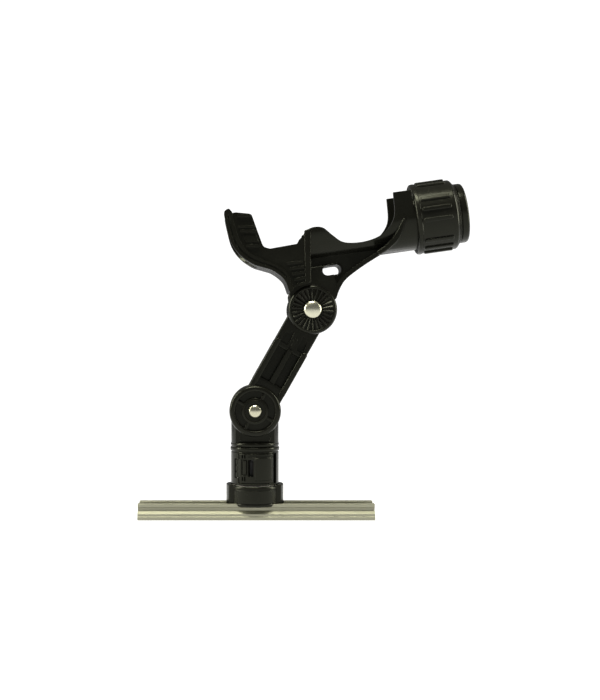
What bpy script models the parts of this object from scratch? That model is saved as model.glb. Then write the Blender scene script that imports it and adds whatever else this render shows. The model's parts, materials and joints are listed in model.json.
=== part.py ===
"""Rod holder: a T-slot track, a swivelling quick-release base, a hinged arm and a forked rod cradle.

Lengths below are in millimetres and become metres through MM. World axes: +X along the track, towards the
collar end of the cradle; +Z up; the near side, with the bolt heads, faces -Y. The origin is the centre of
the track's underside. Hinged parts are drawn flat in a side frame: x along the part or across it, y up it,
and z out of the near face. A parent empty stands each side frame up on its hinge.
"""

import math

import bmesh
import bpy
from mathutils import Matrix, Vector

MM = 0.001
COLLECTION = "rod_holder"

# Track
TRACK_LENGTH = 203.2
TRACK_HALF_WIDTH = 18.0
TRACK_HEIGHT = 13.6
SLOT_HALF = 5.5
SLOT_ROOM_HALF = 10.6
SLOT_FLOOR = 4.0
LIP_UNDERSIDE = 11.2
MOUNT_HOLE_PITCH = 44.5

# Base and lock body, turned about the post
POST_X = -1.0
BASE_BOTTOM = 13.9
APRON_BOTTOM = 11.3
BASE_TOP = 29.0
WING_TOP = 30.2
BASE_R = 21.7
WING_R = 24.8
LOCK_R = 20.7
LOCK_BOTTOM = 29.6
LOCK_TOP = 62.3
RIM_R = 21.2
POST_R = 13.0
POST_TOP = 55.6

# Latch in the near face of the lock body; angles run from the near side towards +X
LEVER_INNER_R = 17.5
LEVER_FROM, LEVER_TO = -42.0, 50.0
LEVER_LOW, LEVER_HIGH = 31.7, 56.9
HINGE_ANGLE = -52.0
HINGE_R = 18.4
KNUCKLE_R = 2.1
KNUCKLE_LOW, KNUCKLE_HIGH = 36.3, 52.3

# Arm
LOWER_Z = 93.5
ARM_LENGTH = 99.5
ARM_LEAN = 29.5
ARM_HALF = 15.5
DISC_R = 22.0
DISC_IN, DISC_OUT = 13.9, 24.0
TONGUE_HALF = 12.4
FLANGE_WIDTH = 5.0
FLANGE_DEPTH = 20.0
CROTCH = 21.2
CROTCH_DEPTH = 15.5
FLANGE_END = 64.5
ARM_TONGUE_HALF = 10.9

# Cradle, drawn about the upper hinge with the rod's axis level
ROD_TILT = 8.0
ROD_AXIS = 65.3
BORE_R = 22.3
TUBE_R = 26.2
TUBE_END = 133.4
COLLAR_START = 97.6
EAR_R = 21.0
EAR_IN, EAR_OUT = 12.3, 21.0
YOKE_HALF = 25.0
RIM_HALF = 27.3
BAND_HALF = 26.8
WEB_HALF = 14.0
ROD_SLOT_HALF = 18.0
SLOT_END_R = 4.15
COLLAR_R = 30.4
COLLAR_BORE = 26.6
END_RING_R = 25.6

# Joint bolts
BOLT_R = 4.0
BOLT_HOLE_R = 4.4
ROUND = 24

# Turns each cylinder's corners off the axes, where other shapes have theirs
PHASE = 3.7
RIB_PITCH = 18.0
MIDDLE_RIB = 98.0


# ---------------------------------------------------------------- helpers


def clear_scene():
    for old in list(bpy.data.objects):
        bpy.data.objects.remove(old, do_unlink=True)


def make_collection(name):
    collection = bpy.data.collections.new(name)
    bpy.context.scene.collection.children.link(collection)
    return collection


def frame(name, x, z, tilt=0.0, side=True):
    """An empty on a hinge: a side frame turned tilt degrees up at +x, or a plain upright one."""
    empty = bpy.data.objects.new(name, None)
    parts.objects.link(empty)
    empty.location = (x * MM, 0, z * MM)
    if side:
        empty.rotation_euler = (math.radians(90), -math.radians(tilt), 0)
    return empty


def add_object(name, mesh, parent):
    obj = bpy.data.objects.new(name, mesh)
    parts.objects.link(obj)
    obj.parent = parent
    return obj


def from_bmesh(name, bm, parent):
    mesh = bpy.data.meshes.new(name)
    bmesh.ops.scale(bm, vec=(MM, MM, MM), verts=bm.verts)
    bmesh.ops.recalc_face_normals(bm, faces=bm.faces)
    bm.to_mesh(mesh)
    bm.free()
    return add_object(name, mesh, parent)


AXES = {
    "X": Matrix.Rotation(math.radians(90), 4, "Y"),
    "Y": Matrix.Rotation(math.radians(-90), 4, "X"),
    "Z": Matrix.Identity(4),
}


def cylinder(name, parent, radius, low, high, at=(0, 0), axis="Z", sides=ROUND):
    """A cylinder from low to high along an axis; at places it on the other two axes, in X, Y, Z order."""
    bm = bmesh.new()
    bmesh.ops.create_cone(
        bm, cap_ends=True, segments=sides, radius1=radius, radius2=radius, depth=high - low
    )
    centre = list(at)
    centre.insert("XYZ".index(axis), (low + high) / 2)
    turn = Matrix.Rotation(math.radians(PHASE), 4, "Z")
    bmesh.ops.transform(bm, matrix=Matrix.Translation(centre) @ AXES[axis] @ turn, verts=bm.verts)
    return from_bmesh(name, bm, parent)


def box(name, parent, xs, ys, zs):
    bm = bmesh.new()
    bmesh.ops.create_cube(bm, size=1)
    size = (xs[1] - xs[0], ys[1] - ys[0], zs[1] - zs[0])
    centre = Vector((xs[0] + xs[1], ys[0] + ys[1], zs[0] + zs[1])) / 2
    bmesh.ops.scale(bm, vec=size, verts=bm.verts)
    bmesh.ops.translate(bm, vec=centre, verts=bm.verts)
    return from_bmesh(name, bm, parent)


def arc(cx, cy, radius, start, end, count):
    """Points along an arc, in degrees, counted from +x towards +y."""
    steps = [start + (end - start) * i / (count - 1) for i in range(count)]
    turns = [math.radians(a) for a in steps]
    return [(cx + radius * math.cos(a), cy + radius * math.sin(a)) for a in turns]


def plate(name, parent, outlines, low, high, smooth=0):
    """Flat outlines given a thickness along z. A point (x, y, 1) lies on a smooth stretch."""
    curve = bpy.data.curves.new(name, "CURVE")
    curve.dimensions = "2D"
    curve.fill_mode = "BOTH"
    curve.extrude = (high - low) / 2 * MM
    curve.resolution_u = max(smooth, 1)
    for outline in outlines:
        spline = curve.splines.new("BEZIER")
        spline.bezier_points.add(len(outline) - 1)
        spline.use_cyclic_u = True
        for knot, point in zip(spline.bezier_points, outline):
            knot.co = (point[0] * MM, point[1] * MM, 0)
            kind = "AUTO" if len(point) == 3 else "VECTOR"
            knot.handle_left_type = kind
            knot.handle_right_type = kind
    flat = bpy.data.objects.new(name, curve)
    parts.objects.link(flat)
    seen = flat.evaluated_get(bpy.context.evaluated_depsgraph_get())
    mesh = bpy.data.meshes.new_from_object(seen)
    bpy.data.objects.remove(flat, do_unlink=True)
    bm = bmesh.new()
    bm.from_mesh(mesh)
    bpy.data.meshes.remove(mesh)
    bmesh.ops.remove_doubles(bm, verts=bm.verts, dist=0.00001)
    bmesh.ops.translate(bm, vec=(0, 0, (low + high) / 2 * MM), verts=bm.verts)
    bmesh.ops.scale(bm, vec=(1 / MM, 1 / MM, 1 / MM), verts=bm.verts)
    return from_bmesh(name, bm, parent)


def turned(name, parent, profile, sides=ROUND, closed=True):
    """A profile of (radius, z) points turned about z; an open one starts and ends on the axis."""
    mesh = bpy.data.meshes.new(name)
    points = [(r * MM, 0, z * MM) for r, z in profile]
    edges = [(i, i + 1) for i in range(len(points) - 1)]
    if closed:
        edges.append((len(points) - 1, 0))
    mesh.from_pydata(points, edges, [])
    obj = add_object(name, mesh, parent)
    screw = obj.modifiers.new("turn", "SCREW")
    screw.steps = sides
    screw.render_steps = sides
    screw.use_merge_vertices = True
    screw.merge_threshold = 0.00001
    return obj


def flat_ring(name, parent, inner, outer, low, high, sides=ROUND):
    return turned(name, parent, [(inner, high), (outer, high), (outer, low), (inner, low)], sides)


def combine(target, operation, *tools):
    """Joins tools to the target, cuts them from it, or keeps what they share, and files them as cutters."""
    for tool in tools:
        modifier = target.modifiers.new(tool.name, "BOOLEAN")
        modifier.operation = operation
        modifier.solver = "EXACT"
        modifier.object = tool
        tool.hide_render = True
        tool.display_type = "WIRE"
        parts.objects.unlink(tool)
        cutters.objects.link(tool)
    return target


def join(target, *tools):
    return combine(target, "UNION", *tools)


def cut(target, *tools):
    return combine(target, "DIFFERENCE", *tools)


def finish(obj, colour, roughness, metallic=0.0):
    """A plain finish of its own for a piece, and smooth shading on its round faces."""
    material = bpy.data.materials.new(obj.name)
    material.use_nodes = True
    shader = material.node_tree.nodes["Principled BSDF"]
    shader.inputs["Base Color"].default_value = (*colour, 1)
    shader.inputs["Roughness"].default_value = roughness
    shader.inputs["Metallic"].default_value = metallic
    obj.data.materials.append(material)
    if obj.data.polygons:
        obj.data.shade_smooth()
        obj.data.set_sharp_from_angle(angle=math.radians(30))
    return obj


def black_plastic(obj):
    return finish(obj, (0.018, 0.018, 0.017), 0.42)


def pale_acetal(obj):
    return finish(obj, (0.62, 0.61, 0.56), 0.5)


def steel(obj):
    return finish(obj, (0.62, 0.60, 0.55), 0.25, 1.0)


def aluminium(obj):
    return finish(obj, (0.60, 0.59, 0.54), 0.38, 1.0)


def rubber(obj):
    return finish(obj, (0.03, 0.03, 0.03), 0.8)


# ---------------------------------------------------------------- track


def track_half_section():
    """Half of the extrusion's section, from its underside round to the slot's floor."""
    return [
        (17.2, 0),
        (TRACK_HALF_WIDTH, 0.8),
        (TRACK_HALF_WIDTH, 3.0),
        (17.3, 3.2),
        (17.3, 5.4),
        (15.4, 7.2),
        (13.2, 7.4),
        (13.2, 10.4),
        (14.5, 10.9),
        (14.5, TRACK_HEIGHT),
        (SLOT_HALF, TRACK_HEIGHT),
        (SLOT_HALF, LIP_UNDERSIDE),
        (SLOT_ROOM_HALF, LIP_UNDERSIDE),
        (SLOT_ROOM_HALF, SLOT_FLOOR),
    ]


def make_track():
    end_on = frame("track_frame", 0, 0, side=False)
    end_on.rotation_euler = (math.radians(90), 0, math.radians(90))
    half = track_half_section()
    other = [(-y, z) for y, z in reversed(half)]
    rail = plate("track_rail", end_on, [half + other], -TRACK_LENGTH / 2, TRACK_LENGTH / 2)
    for i in range(4):
        along = (i - 1.5) * MOUNT_HOLE_PITCH
        hole = cylinder(f"mount_hole_{i + 1}", end_on, 2.6, -1, 5, (0, along), "Y", 16)
        bm = bmesh.new()
        bmesh.ops.create_cone(bm, cap_ends=True, segments=16, radius1=2.2, radius2=4.8, depth=2.2)
        seat = Matrix.Translation((0, SLOT_FLOOR - 0.9, along)) @ AXES["Y"]
        bmesh.ops.transform(bm, matrix=seat, verts=bm.verts)
        cut(rail, hole, from_bmesh(f"countersink_{i + 1}", bm, end_on))
    aluminium(rail)


# ---------------------------------------------------------------- base and its clamp


def make_tee_bolt(post):
    head_low, head_high = SLOT_FLOOR + 3.2, LIP_UNDERSIDE - 0.3
    bolt = box("track_tee_bolt", post, (-12, 12), (-9.6, 9.6), (head_low, head_high))
    join(bolt, cylinder("tee_bolt_shank", post, BOLT_R, head_high - 1, 31, sides=16))
    steel(bolt)
    steel(flat_ring("tee_bolt_washer", post, BOLT_HOLE_R, 9.0, 19.3, 20.8))
    nut = cylinder("tee_bolt_nut", post, 7.4, 21.1, 27.6, sides=6)
    cut(nut, cylinder("tee_nut_thread", post, BOLT_HOLE_R, 20, 29, sides=16))
    steel(nut)


def screw_places():
    """The post's four screws, on a circle in its flange."""
    angles = [math.radians(45 + 90 * i) for i in range(4)]
    return [(16 * math.cos(a), 16 * math.sin(a)) for a in angles]


def make_base(post):
    base = cylinder("base_housing", post, BASE_R, APRON_BOTTOM, BASE_TOP, sides=36)
    wings = cylinder("base_wings", post, WING_R, BASE_BOTTOM, WING_TOP, sides=36)
    reach = box("wing_reach", post, (-30, 30), (-11, 11), (0, 40))
    join(base, combine(wings, "INTERSECT", reach))
    cut(base, box("track_channel", post, (-40, 40), (-15.1, 15.1), (0, BASE_BOTTOM)))
    cut(base, cylinder("lock_clearance", post, BASE_R, BASE_TOP, 40, sides=36))
    cut(base, cylinder("post_recess", post, 19.4, 19, 40))
    cut(base, cylinder("tee_bolt_hole", post, BOLT_HOLE_R, 5, 30, sides=16))
    for i, place in enumerate(screw_places()):
        cut(base, cylinder(f"screw_head_hole_{i}", post, 3.0, 10, 16.3, place, sides=12))
        cut(base, cylinder(f"screw_shank_hole_{i}", post, 1.8, 15, 25, place, sides=12))
    black_plastic(base)


def make_post(post):
    profile = [
        (9.5, POST_TOP),
        (POST_R, POST_TOP),
        (POST_R, 54.0),
        (12.0, 54.0),
        (12.0, 52.2),
        (POST_R, 52.2),
        (POST_R, 22.3),
        (19.0, 22.3),
        (19.0, 19.3),
        (9.5, 19.3),
    ]
    body = turned("lock_post", post, profile, 24)
    teeth = []
    for i in range(24):
        radius = 15.0 if i % 2 else 13.4
        angle = math.radians(i * 15)
        teeth.append((radius * math.cos(angle), radius * math.sin(angle)))
    ring = plate("index_teeth", post, [teeth, arc(0, 0, 11.5, 0, 342, 20)], 37, 50)
    join(body, ring)
    for i, place in enumerate(screw_places()):
        cut(body, cylinder(f"post_screw_hole_{i}", post, 1.75, 15, 21.8, place, sides=12))
    finish(body, (0.05, 0.05, 0.05), 0.45)
    for i, place in enumerate(screw_places()):
        screw = cylinder(f"post_screw_{i + 1}", post, 2.6, 14.3, 16.0, place, sides=12)
        steel(join(screw, cylinder(f"post_screw_shank_{i}", post, 1.4, 15.5, 21.5, place, sides=12)))
    bushing = [(13.3, 35), (15.3, 35), (15.3, 29.3), (19.0, 29.3), (19.0, 22.6), (13.3, 22.6)]
    pale_acetal(turned("swivel_bushing", post, bushing))
    gap = box("snap_ring_gap", post, (-4, 4), (5, 20), (50, 56))
    ring = turned("post_snap_ring", post, [(12.3, 53.7), (15.2, 53.7), (15.2, 52.5), (12.3, 52.5)])
    steel(cut(ring, gap))


# ---------------------------------------------------------------- lock body and latch


def near_angle(radius, degrees):
    """A point at an angle from the near side (-Y) towards +X, about the post."""
    a = math.radians(degrees)
    return (radius * math.sin(a), -radius * math.cos(a))


def ring_sector(inner, outer, start, end, count):
    out = [near_angle(outer, start + (end - start) * i / (count - 1)) for i in range(count)]
    back = [near_angle(inner, end + (start - end) * i / (count - 1)) for i in range(count)]
    return out + back


def make_lock(post):
    profile = [
        (15.6, LOCK_TOP),
        (RIM_R, LOCK_TOP),
        (RIM_R, 58.5),
        (LOCK_R, 58.3),
        (LOCK_R, LOCK_BOTTOM),
        (15.6, LOCK_BOTTOM),
        (15.6, 50.4),
        (13.3, 50.4),
        (13.3, 51.9),
        (15.6, 51.9),
    ]
    body = turned("lock_housing", post, profile, 40)
    cut(body, plate("latch_recess", post, [ring_sector(17.2, 22, -46.5, 62, 14)], 31.3, 57.3))
    pocket = ring_sector(17.2, 22, HINGE_ANGLE - 1, -40, 4)
    cut(body, plate("hinge_pocket", post, [pocket], KNUCKLE_LOW - 0.3, KNUCKLE_HIGH + 0.3))
    hinge = near_angle(HINGE_R, HINGE_ANGLE)
    relief = cylinder("hinge_relief", post, 2.5, KNUCKLE_LOW - 0.3, KNUCKLE_HIGH + 0.3, hinge, sides=16)
    bore = cylinder("hinge_bore", post, 1.2, 33.5, 55.2, hinge, sides=16)
    window = plate("tooth_window", post, [ring_sector(14, 19, -25, -4, 5)], 39.5, 48.5)
    cut(body, relief, bore, window)
    cut(body, cylinder("roll_pin_hole", post, 1.6, 12, 25, (0, 60.2), "Y", 12))
    black_plastic(body)


def make_latch(post):
    arcs = ring_sector(LEVER_INNER_R, LOCK_R, LEVER_FROM, LEVER_TO, 10)
    hinge = near_angle(HINGE_R, HINGE_ANGLE)
    pivot = bpy.data.objects.new("latch_pivot", None)
    parts.objects.link(pivot)
    pivot.location = ((POST_X + hinge[0]) * MM, hinge[1] * MM, 0)
    arcs = [(x - hinge[0], y - hinge[1]) for x, y in arcs]
    lever = plate("release_lever", pivot, [arcs], LEVER_LOW, LEVER_HIGH)
    reach = ring_sector(17.7, 20.0, HINGE_ANGLE, LEVER_FROM + 3, 4)
    reach = [(x - hinge[0], y - hinge[1]) for x, y in reach]
    join(lever, plate("knuckle_reach", pivot, [reach], KNUCKLE_LOW, KNUCKLE_HIGH))
    join(lever, cylinder("knuckle", pivot, KNUCKLE_R, KNUCKLE_LOW, KNUCKLE_HIGH, sides=20))
    tooth = ring_sector(15.4, 18, -20, -10, 3)
    tooth = [(x - hinge[0], y - hinge[1]) for x, y in tooth]
    join(lever, plate("latch_tooth", pivot, [tooth], 41, 47))
    cut(lever, cylinder("knuckle_bore", pivot, 1.2, 30, 60, sides=16))
    cut(lever, box("spring_notch", pivot, (-3, 3), (-3, 3), (42.9, 46.5)))
    black_plastic(lever)
    steel(cylinder("lever_hinge_pin", pivot, 0.9, 33.9, 54.8, sides=12))


def make_lever_spring(post):
    """Three turns of wire round the hinge pin, in the notch between the lever's knuckles."""
    hinge = near_angle(HINGE_R, HINGE_ANGLE)
    curve = bpy.data.curves.new("lever_spring", "CURVE")
    curve.dimensions = "3D"
    curve.bevel_depth = 0.3 * MM
    curve.bevel_resolution = 1
    curve.use_fill_caps = True
    spline = curve.splines.new("POLY")
    count = 19
    spline.points.add(count - 1)
    for i, point in enumerate(spline.points):
        angle = 2 * math.pi * 3 * i / (count - 1)
        x = hinge[0] + 1.6 * math.cos(angle)
        y = hinge[1] + 1.6 * math.sin(angle)
        point.co = (x * MM, y * MM, (43.5 + 2.4 * i / (count - 1)) * MM, 1)
    spring = bpy.data.objects.new("lever_spring", curve)
    parts.objects.link(spring)
    spring.parent = post
    finish_curve(spring)


def finish_curve(obj):
    material = bpy.data.materials.new(obj.name)
    material.use_nodes = True
    material.node_tree.nodes["Principled BSDF"].inputs["Metallic"].default_value = 1.0
    obj.data.materials.append(material)


def make_neck(upright):
    """The tongue under the lower hinge, in a side frame that stands upright on the hinge."""
    rise = -LOWER_Z
    half = LOCK_R - 0.3
    side = [(-half, 63.5 + rise), (half, 63.5 + rise)] + arc(0, 0, half, 0, 180, 15)
    neck = plate("neck", upright, [side], -TONGUE_HALF, TONGUE_HALF)
    barrel = cylinder("neck_barrel", upright, LOCK_R, 40 + rise, 30, axis="Y", sides=36)
    combine(neck, "INTERSECT", barrel)
    join(neck, cylinder("neck_foot", upright, LOCK_R + 0.2, 62.6 + rise, 66.2 + rise, axis="Y", sides=36))
    join(neck, cylinder("neck_plug", upright, 15.2, 56.2 + rise, 64 + rise, axis="Y"))
    cut(neck, cylinder("neck_bolt_hole", upright, BOLT_HOLE_R, -20, 20, sides=16))
    cut(neck, cylinder("neck_pin_hole", upright, 1.6, -25, -9, (0, 60.2 + rise), "Z", 12))
    black_plastic(neck)
    steel(cylinder("neck_roll_pin", upright, 1.25, -20.4, -9.4, (0, 60.2 + rise), "Z", 12))


# ---------------------------------------------------------------- arm and lower joint


def make_arm(arm):
    body = cylinder("extension_arm", arm, DISC_R, DISC_IN, DISC_OUT, sides=32)
    across = (-ARM_HALF, ARM_HALF)
    join(body, box("near_cheek", arm, across, (0, 27), (DISC_IN, CROTCH_DEPTH)))
    join(body, box("crotch", arm, across, (CROTCH, 27), (-CROTCH_DEPTH, CROTCH_DEPTH)))
    join(body, box("far_cheek", arm, across, (0, 27), (-CROTCH_DEPTH, -DISC_IN)))
    join(body, cylinder("far_disc", arm, DISC_R, -DISC_OUT, -DISC_IN, sides=32))
    for side, name in ((-1, "left"), (1, "right")):
        inner, outer = sorted((side * ARM_HALF, side * (ARM_HALF - FLANGE_WIDTH)))
        flange = box(f"{name}_flange", arm, (inner, outer), (25, FLANGE_END), (-FLANGE_DEPTH, FLANGE_DEPTH))
        join(body, flange)
        join(body, box(f"{name}_near_strap", arm, (inner, outer), (0, 30), (DISC_IN, FLANGE_DEPTH)))
        join(body, box(f"{name}_far_strap", arm, (inner, outer), (0, 30), (-FLANGE_DEPTH, -DISC_IN)))
    join(body, box("centre_rib", arm, (-2.5, 2.5), (25, 62), (-17, 17)))
    join(body, box("arm_web", arm, (-ARM_HALF + 1, ARM_HALF - 1), (25, 70), (-5, 5)))
    outline = [(-ARM_HALF, 60), (ARM_HALF, 60)] + arc(0, ARM_LENGTH, 16.5, -20, 200, 15)
    join(body, plate("arm_tongue", arm, [outline], -ARM_TONGUE_HALF, ARM_TONGUE_HALF))
    windows = []
    for a in range(0, 360, 90):
        windows.append(arc(0, 0, 17, a + 9, a + 81, 6) + arc(0, 0, 11.5, a + 78, a + 12, 4))
    cut(body, plate("near_windows", arm, windows, 17.5, 30))
    cut(body, plate("far_windows", arm, windows, -30, -17.5))
    cut(body, cylinder("near_hub", arm, 8.9, 21, 30))
    cut(body, cylinder("far_hub", arm, 8.9, -30, -16.5))
    cut(body, cylinder("arm_lower_hole", arm, BOLT_HOLE_R, -30, 30, sides=16))
    cut(body, cylinder("arm_upper_hole", arm, BOLT_HOLE_R, -30, 30, (0, ARM_LENGTH), sides=16))
    black_plastic(body)


def make_lower_joint(arm):
    rubber(flat_ring("lower_washer_near", arm, 4.6, 15.4, 12.7, 13.6))
    rubber(flat_ring("lower_washer_far", arm, 4.6, 15.4, -13.6, -12.7))
    head = [(0, 24.6), (2.6, 24.3), (4.6, 23.2), (5.5, 21.3), (4.0, 21.3), (4.0, -26), (0, -26)]
    steel(turned("lower_pivot_bolt", arm, head, 24, closed=False))
    steel(flat_ring("lower_nut_washer", arm, 4.4, 8.3, -18.3, -16.8))
    nut = cylinder("lower_pivot_nut", arm, 7.4, -24.8, -18.6, sides=6)
    steel(cut(nut, cylinder("lower_nut_thread", arm, BOLT_HOLE_R, -30, -10, sides=16)))


# ---------------------------------------------------------------- cradle


RIM_OUTER = [
    (-63.6, 90.0),
    (-63.1, 82, 1),
    (-61.0, 66, 1),
    (-55.0, 54.3, 1),
    (-45.6, 45.3, 1),
    (-37.0, 41, 1),
    (-28.7, 36.8, 1),
    (-20.6, 28, 1),
    (-17.8, 17),
]
RIM_INNER = [
    (-13.7, 18.6),
    (-16.9, 32.7, 1),
    (-22.7, 39.7, 1),
    (-35.3, 47.3, 1),
    (-47.0, 55.8, 1),
    (-53.1, 66.9, 1),
    (-56.0, 80, 1),
    (-56.5, 91.3),
]
FORK_EDGE = [
    (-60.2, 90.5),
    (-59.8, 81, 1),
    (-57.6, 66.8, 1),
    (-52.2, 56.6, 1),
    (-43.8, 48.5, 1),
    (-35.6, 44.2, 1),
    (-26.8, 39.4, 1),
    (-18.4, 30.2, 1),
    (-15.6, 19.5),
]
HOOK_TIP = [(-59.0, 94.3, 1), (-62.6, 92.8, 1)]
FORK_TOP = [
    (-53.2, 90.6),
    (-42.0, 87.9),
    (-40.2, 86.2),
    (-35.5, 63.7),
    (-33.8, 58.6, 1),
    (-28.9, 56.1),
    (-5.7, 57.0),
    (-3.5, 60.1),
    (0.3, 63.0),
    (2.4, 66.4),
    (4.6, 66.6),
]
SADDLE_TOP = [
    (3.5, 67.4),
    (10.6, 69.0, 1),
    (18.1, 67.3, 1),
    (24.8, 60.4, 1),
    (32.4, 53.8, 1),
    (42.0, 51.4, 1),
    (54.4, 51.5, 1),
    (66.0, 54.6, 1),
    (74.6, 61.1, 1),
    (79.8, 70.7, 1),
    (81.1, 88.8),
]
WEB_LOWER = [
    (72.0, 41.8),
    (54.1, 33.8, 1),
    (38.8, 26.0, 1),
    (30.0, 20.0, 1),
    (24.4, 12.5, 1),
    (20.7, 6.0, 1),
]
WEB_EDGE = [
    (70.0, 44.5),
    (53.2, 35.6, 1),
    (37.6, 27.8, 1),
    (28.0, 21.4, 1),
    (22.4, 13.6, 1),
    (19.0, 7.0, 1),
]
EAR_NECK = [
    (-18.2, 0),
    (-18.2, 14),
    (-16.3, 19),
    (-17.6, 25),
    (-14.0, 36),
    (20.0, 36),
    (24.5, 17.5),
    (19.3, 8.5),
    (19.3, 0),
]


def make_fork(cradle):
    outline = FORK_EDGE + [(-11.6, 21.3), (-2.0, 23.8)] + FORK_TOP[::-1]
    body = plate("cradle_body", cradle, [outline], -YOKE_HALF, YOKE_HALF, 2)
    rim = plate("fork_rim", cradle, [RIM_OUTER + RIM_INNER + HOOK_TIP], -RIM_HALF, RIM_HALF, 2)
    band = [(1.5, 22.5), (7.5, 68.0), (2.0, 67.3), (-3.6, 23.2)]
    join(body, rim, plate("fork_band", cradle, [band], -BAND_HALF, BAND_HALF))
    return body


def make_tube(cradle, rod):
    tube = cylinder("rod_tube", rod, TUBE_R, 3.5, TUBE_END, sides=32)
    walls = box("tube_walls", cradle, (50, 96.6), (ROD_AXIS, 88.8), (-25.9, 25.9))
    above = SADDLE_TOP + [(81.1, 110), (-5, 110), (-5, 67.4)]
    return cut(join(tube, walls), plate("above_saddle", cradle, [above], -40, 40, 2))


def make_web(cradle):
    sheet = [(-4, 24), (-4, 45), (68, 47)] + WEB_EDGE + [(17, -4), (-14, -4), (-14, 17)]
    web = plate("web", cradle, [sheet], -WEB_HALF, WEB_HALF, 2)
    flange = WEB_LOWER + [(17.5, 9.5), (26.4, 22.6), (36.6, 29.4, 1), (52.4, 37.2, 1), (68.0, 44.2)]
    join(web, plate("web_flange", cradle, [flange], -19.5, 19.5, 2))
    outer = [(62.0, 37.6), (72.0, 42.4, 1), (81.5, 50.0, 1), (89.4, 65.5)]
    inner = [(86.4, 66.0), (77.4, 53.0, 1), (68.5, 45.6, 1), (60.0, 41.2)]
    return join(web, plate("tube_rib", cradle, [outer + inner], -RIM_HALF, RIM_HALF, 2))


def make_ears(cradle, side):
    low, high = sorted((side * EAR_IN, side * EAR_OUT))
    name = "near" if side > 0 else "far"
    ear = cylinder(f"{name}_ear", cradle, EAR_R, low, high, sides=32)
    low, high = sorted((side * EAR_IN, side * 19.0))
    return join(ear, plate(f"{name}_ear_neck", cradle, [EAR_NECK], low, high))


def make_cradle(cradle, rod):
    body = make_fork(cradle)
    join(body, make_tube(cradle, rod), make_web(cradle), make_ears(cradle, 1), make_ears(cradle, -1))
    trough = arc(0, 0, BORE_R, 180, 360, 17) + [(BORE_R, 60), (-BORE_R, 60)]
    cut(body, plate("rod_channel", rod, [trough], -90, 97))
    edge = math.degrees(math.asin(ROD_SLOT_HALF / BORE_R))
    keyhole = arc(0, 0, BORE_R, 90 + edge, 450 - edge, 23) + [(ROD_SLOT_HALF, 60), (-ROD_SLOT_HALF, 60)]
    cut(body, plate("rod_keyhole", rod, [keyhole], 96, 170))
    slot = arc(25.1, 31.2, SLOT_END_R, -90, 90, 7) + arc(17.2, 31.2, SLOT_END_R, 90, 270, 7)
    cut(body, plate("lanyard_slot", cradle, [slot], -40, 40))
    cut(body, cylinder("tongue_sweep", cradle, 18.2, -EAR_IN, EAR_IN, sides=32))
    cut(body, box("tongue_gap_right", cradle, (0, 60), (-50, 8), (-EAR_IN, EAR_IN)))
    cut(body, box("tongue_gap_left", cradle, (-60, 1), (-50, 16), (-EAR_IN, EAR_IN)))
    cut(body, cylinder("ear_hole", cradle, BOLT_HOLE_R, -40, 40, sides=16))
    black_plastic(body)


def make_upper_joint(cradle):
    rubber(flat_ring("upper_washer_near", cradle, 4.6, 15.5, 11.2, 12.0))
    rubber(flat_ring("upper_washer_far", cradle, 4.6, 15.5, -12.0, -11.2))
    head = [(0, 25.2), (3.0, 24.8), (5.6, 23.6), (7.2, 22.0), (7.5, 21.3), (4.0, 21.3), (4.0, -32), (0, -32)]
    steel(turned("upper_carriage_bolt", cradle, head, 28, closed=False))
    steel(flat_ring("knob_washer", cradle, 4.6, 9.0, -22.5, -21.3))
    steel(flat_ring("knob_insert", cradle, 4.4, 7.0, -33.0, -22.8))
    lobes = [
        (14.8 + 2.2 * math.cos(5 * a)) * Vector((math.cos(a), math.sin(a)))
        for a in (2 * math.pi * (i + 0.3) / 30 for i in range(30))
    ]
    knob = plate("adjust_knob", cradle, [[tuple(p) for p in lobes]], -38, -26)
    join(knob, cylinder("knob_hub", cradle, 10.5, -30, -22.8))
    cut(knob, cylinder("knob_bore", cradle, 7.3, -33.3, -20))
    black_plastic(knob)


# ---------------------------------------------------------------- collar, turned about the rod's axis


def make_collar(rod):
    """The collar is open on its far side (+x here) and turns its opening up to let a rod drop in."""
    profile = [
        (BORE_R, 136.0),
        (25.8, 136.0),
        (25.8, 134.6),
        (27.6, 133.6),
        (COLLAR_R, 131.2),
        (COLLAR_R, 99.0),
        (29.8, COLLAR_START),
        (COLLAR_BORE, COLLAR_START),
        (COLLAR_BORE, 99.9),
        (27.7, 99.9),
        (27.7, 102.1),
        (COLLAR_BORE, 102.1),
        (COLLAR_BORE, 133.9),
        (BORE_R, 133.9),
    ]
    collar = turned("locking_collar", rod, profile, 40)
    for i in range(20):
        if i % 4 == 3:
            continue
        angle = MIDDLE_RIB - RIB_PITCH * (i - 1)
        rib = box(f"collar_rib_{i}", rod, (COLLAR_R - 1.2, COLLAR_R + 0.5), (-1.6, 1.6), (103, 128))
        rib.rotation_euler = (0, 0, math.radians(angle))
        join(collar, rib)
    opening = box("collar_opening", rod, (0, 50), (-ROD_SLOT_HALF, ROD_SLOT_HALF), (90, 150))
    black_plastic(cut(collar, opening))
    nose = [
        (BORE_R, 142.8),
        (23.6, 142.8),
        (25.2, 141.8),
        (END_RING_R, 140.2),
        (END_RING_R, 136.3),
        (BORE_R, 136.3),
    ]
    ring = turned("collar_end_ring", rod, nose, 36)
    ring_opening = box("ring_opening", rod, (0, 50), (-ROD_SLOT_HALF, ROD_SLOT_HALF), (90, 150))
    black_plastic(cut(ring, ring_opening))


def make_collar_keepers(rod):
    """A snap wire and a friction strip in grooves round the tube, both open at the top like the tube."""
    wire = flat_ring("collar_snap_wire", rod, 25.3, 27.3, 100.3, 101.7, 40)
    opening = box("wire_opening", rod, (-20, 20), (0, 50), (90, 150))
    steel(cut(wire, opening))
    strip = flat_ring("collar_friction_strip", rod, 25.2, 26.4, 124.6, 128.4, 40)
    gap = box("strip_opening", rod, (-20, 20), (0, 50), (90, 150))
    rubber(cut(strip, gap))


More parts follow.
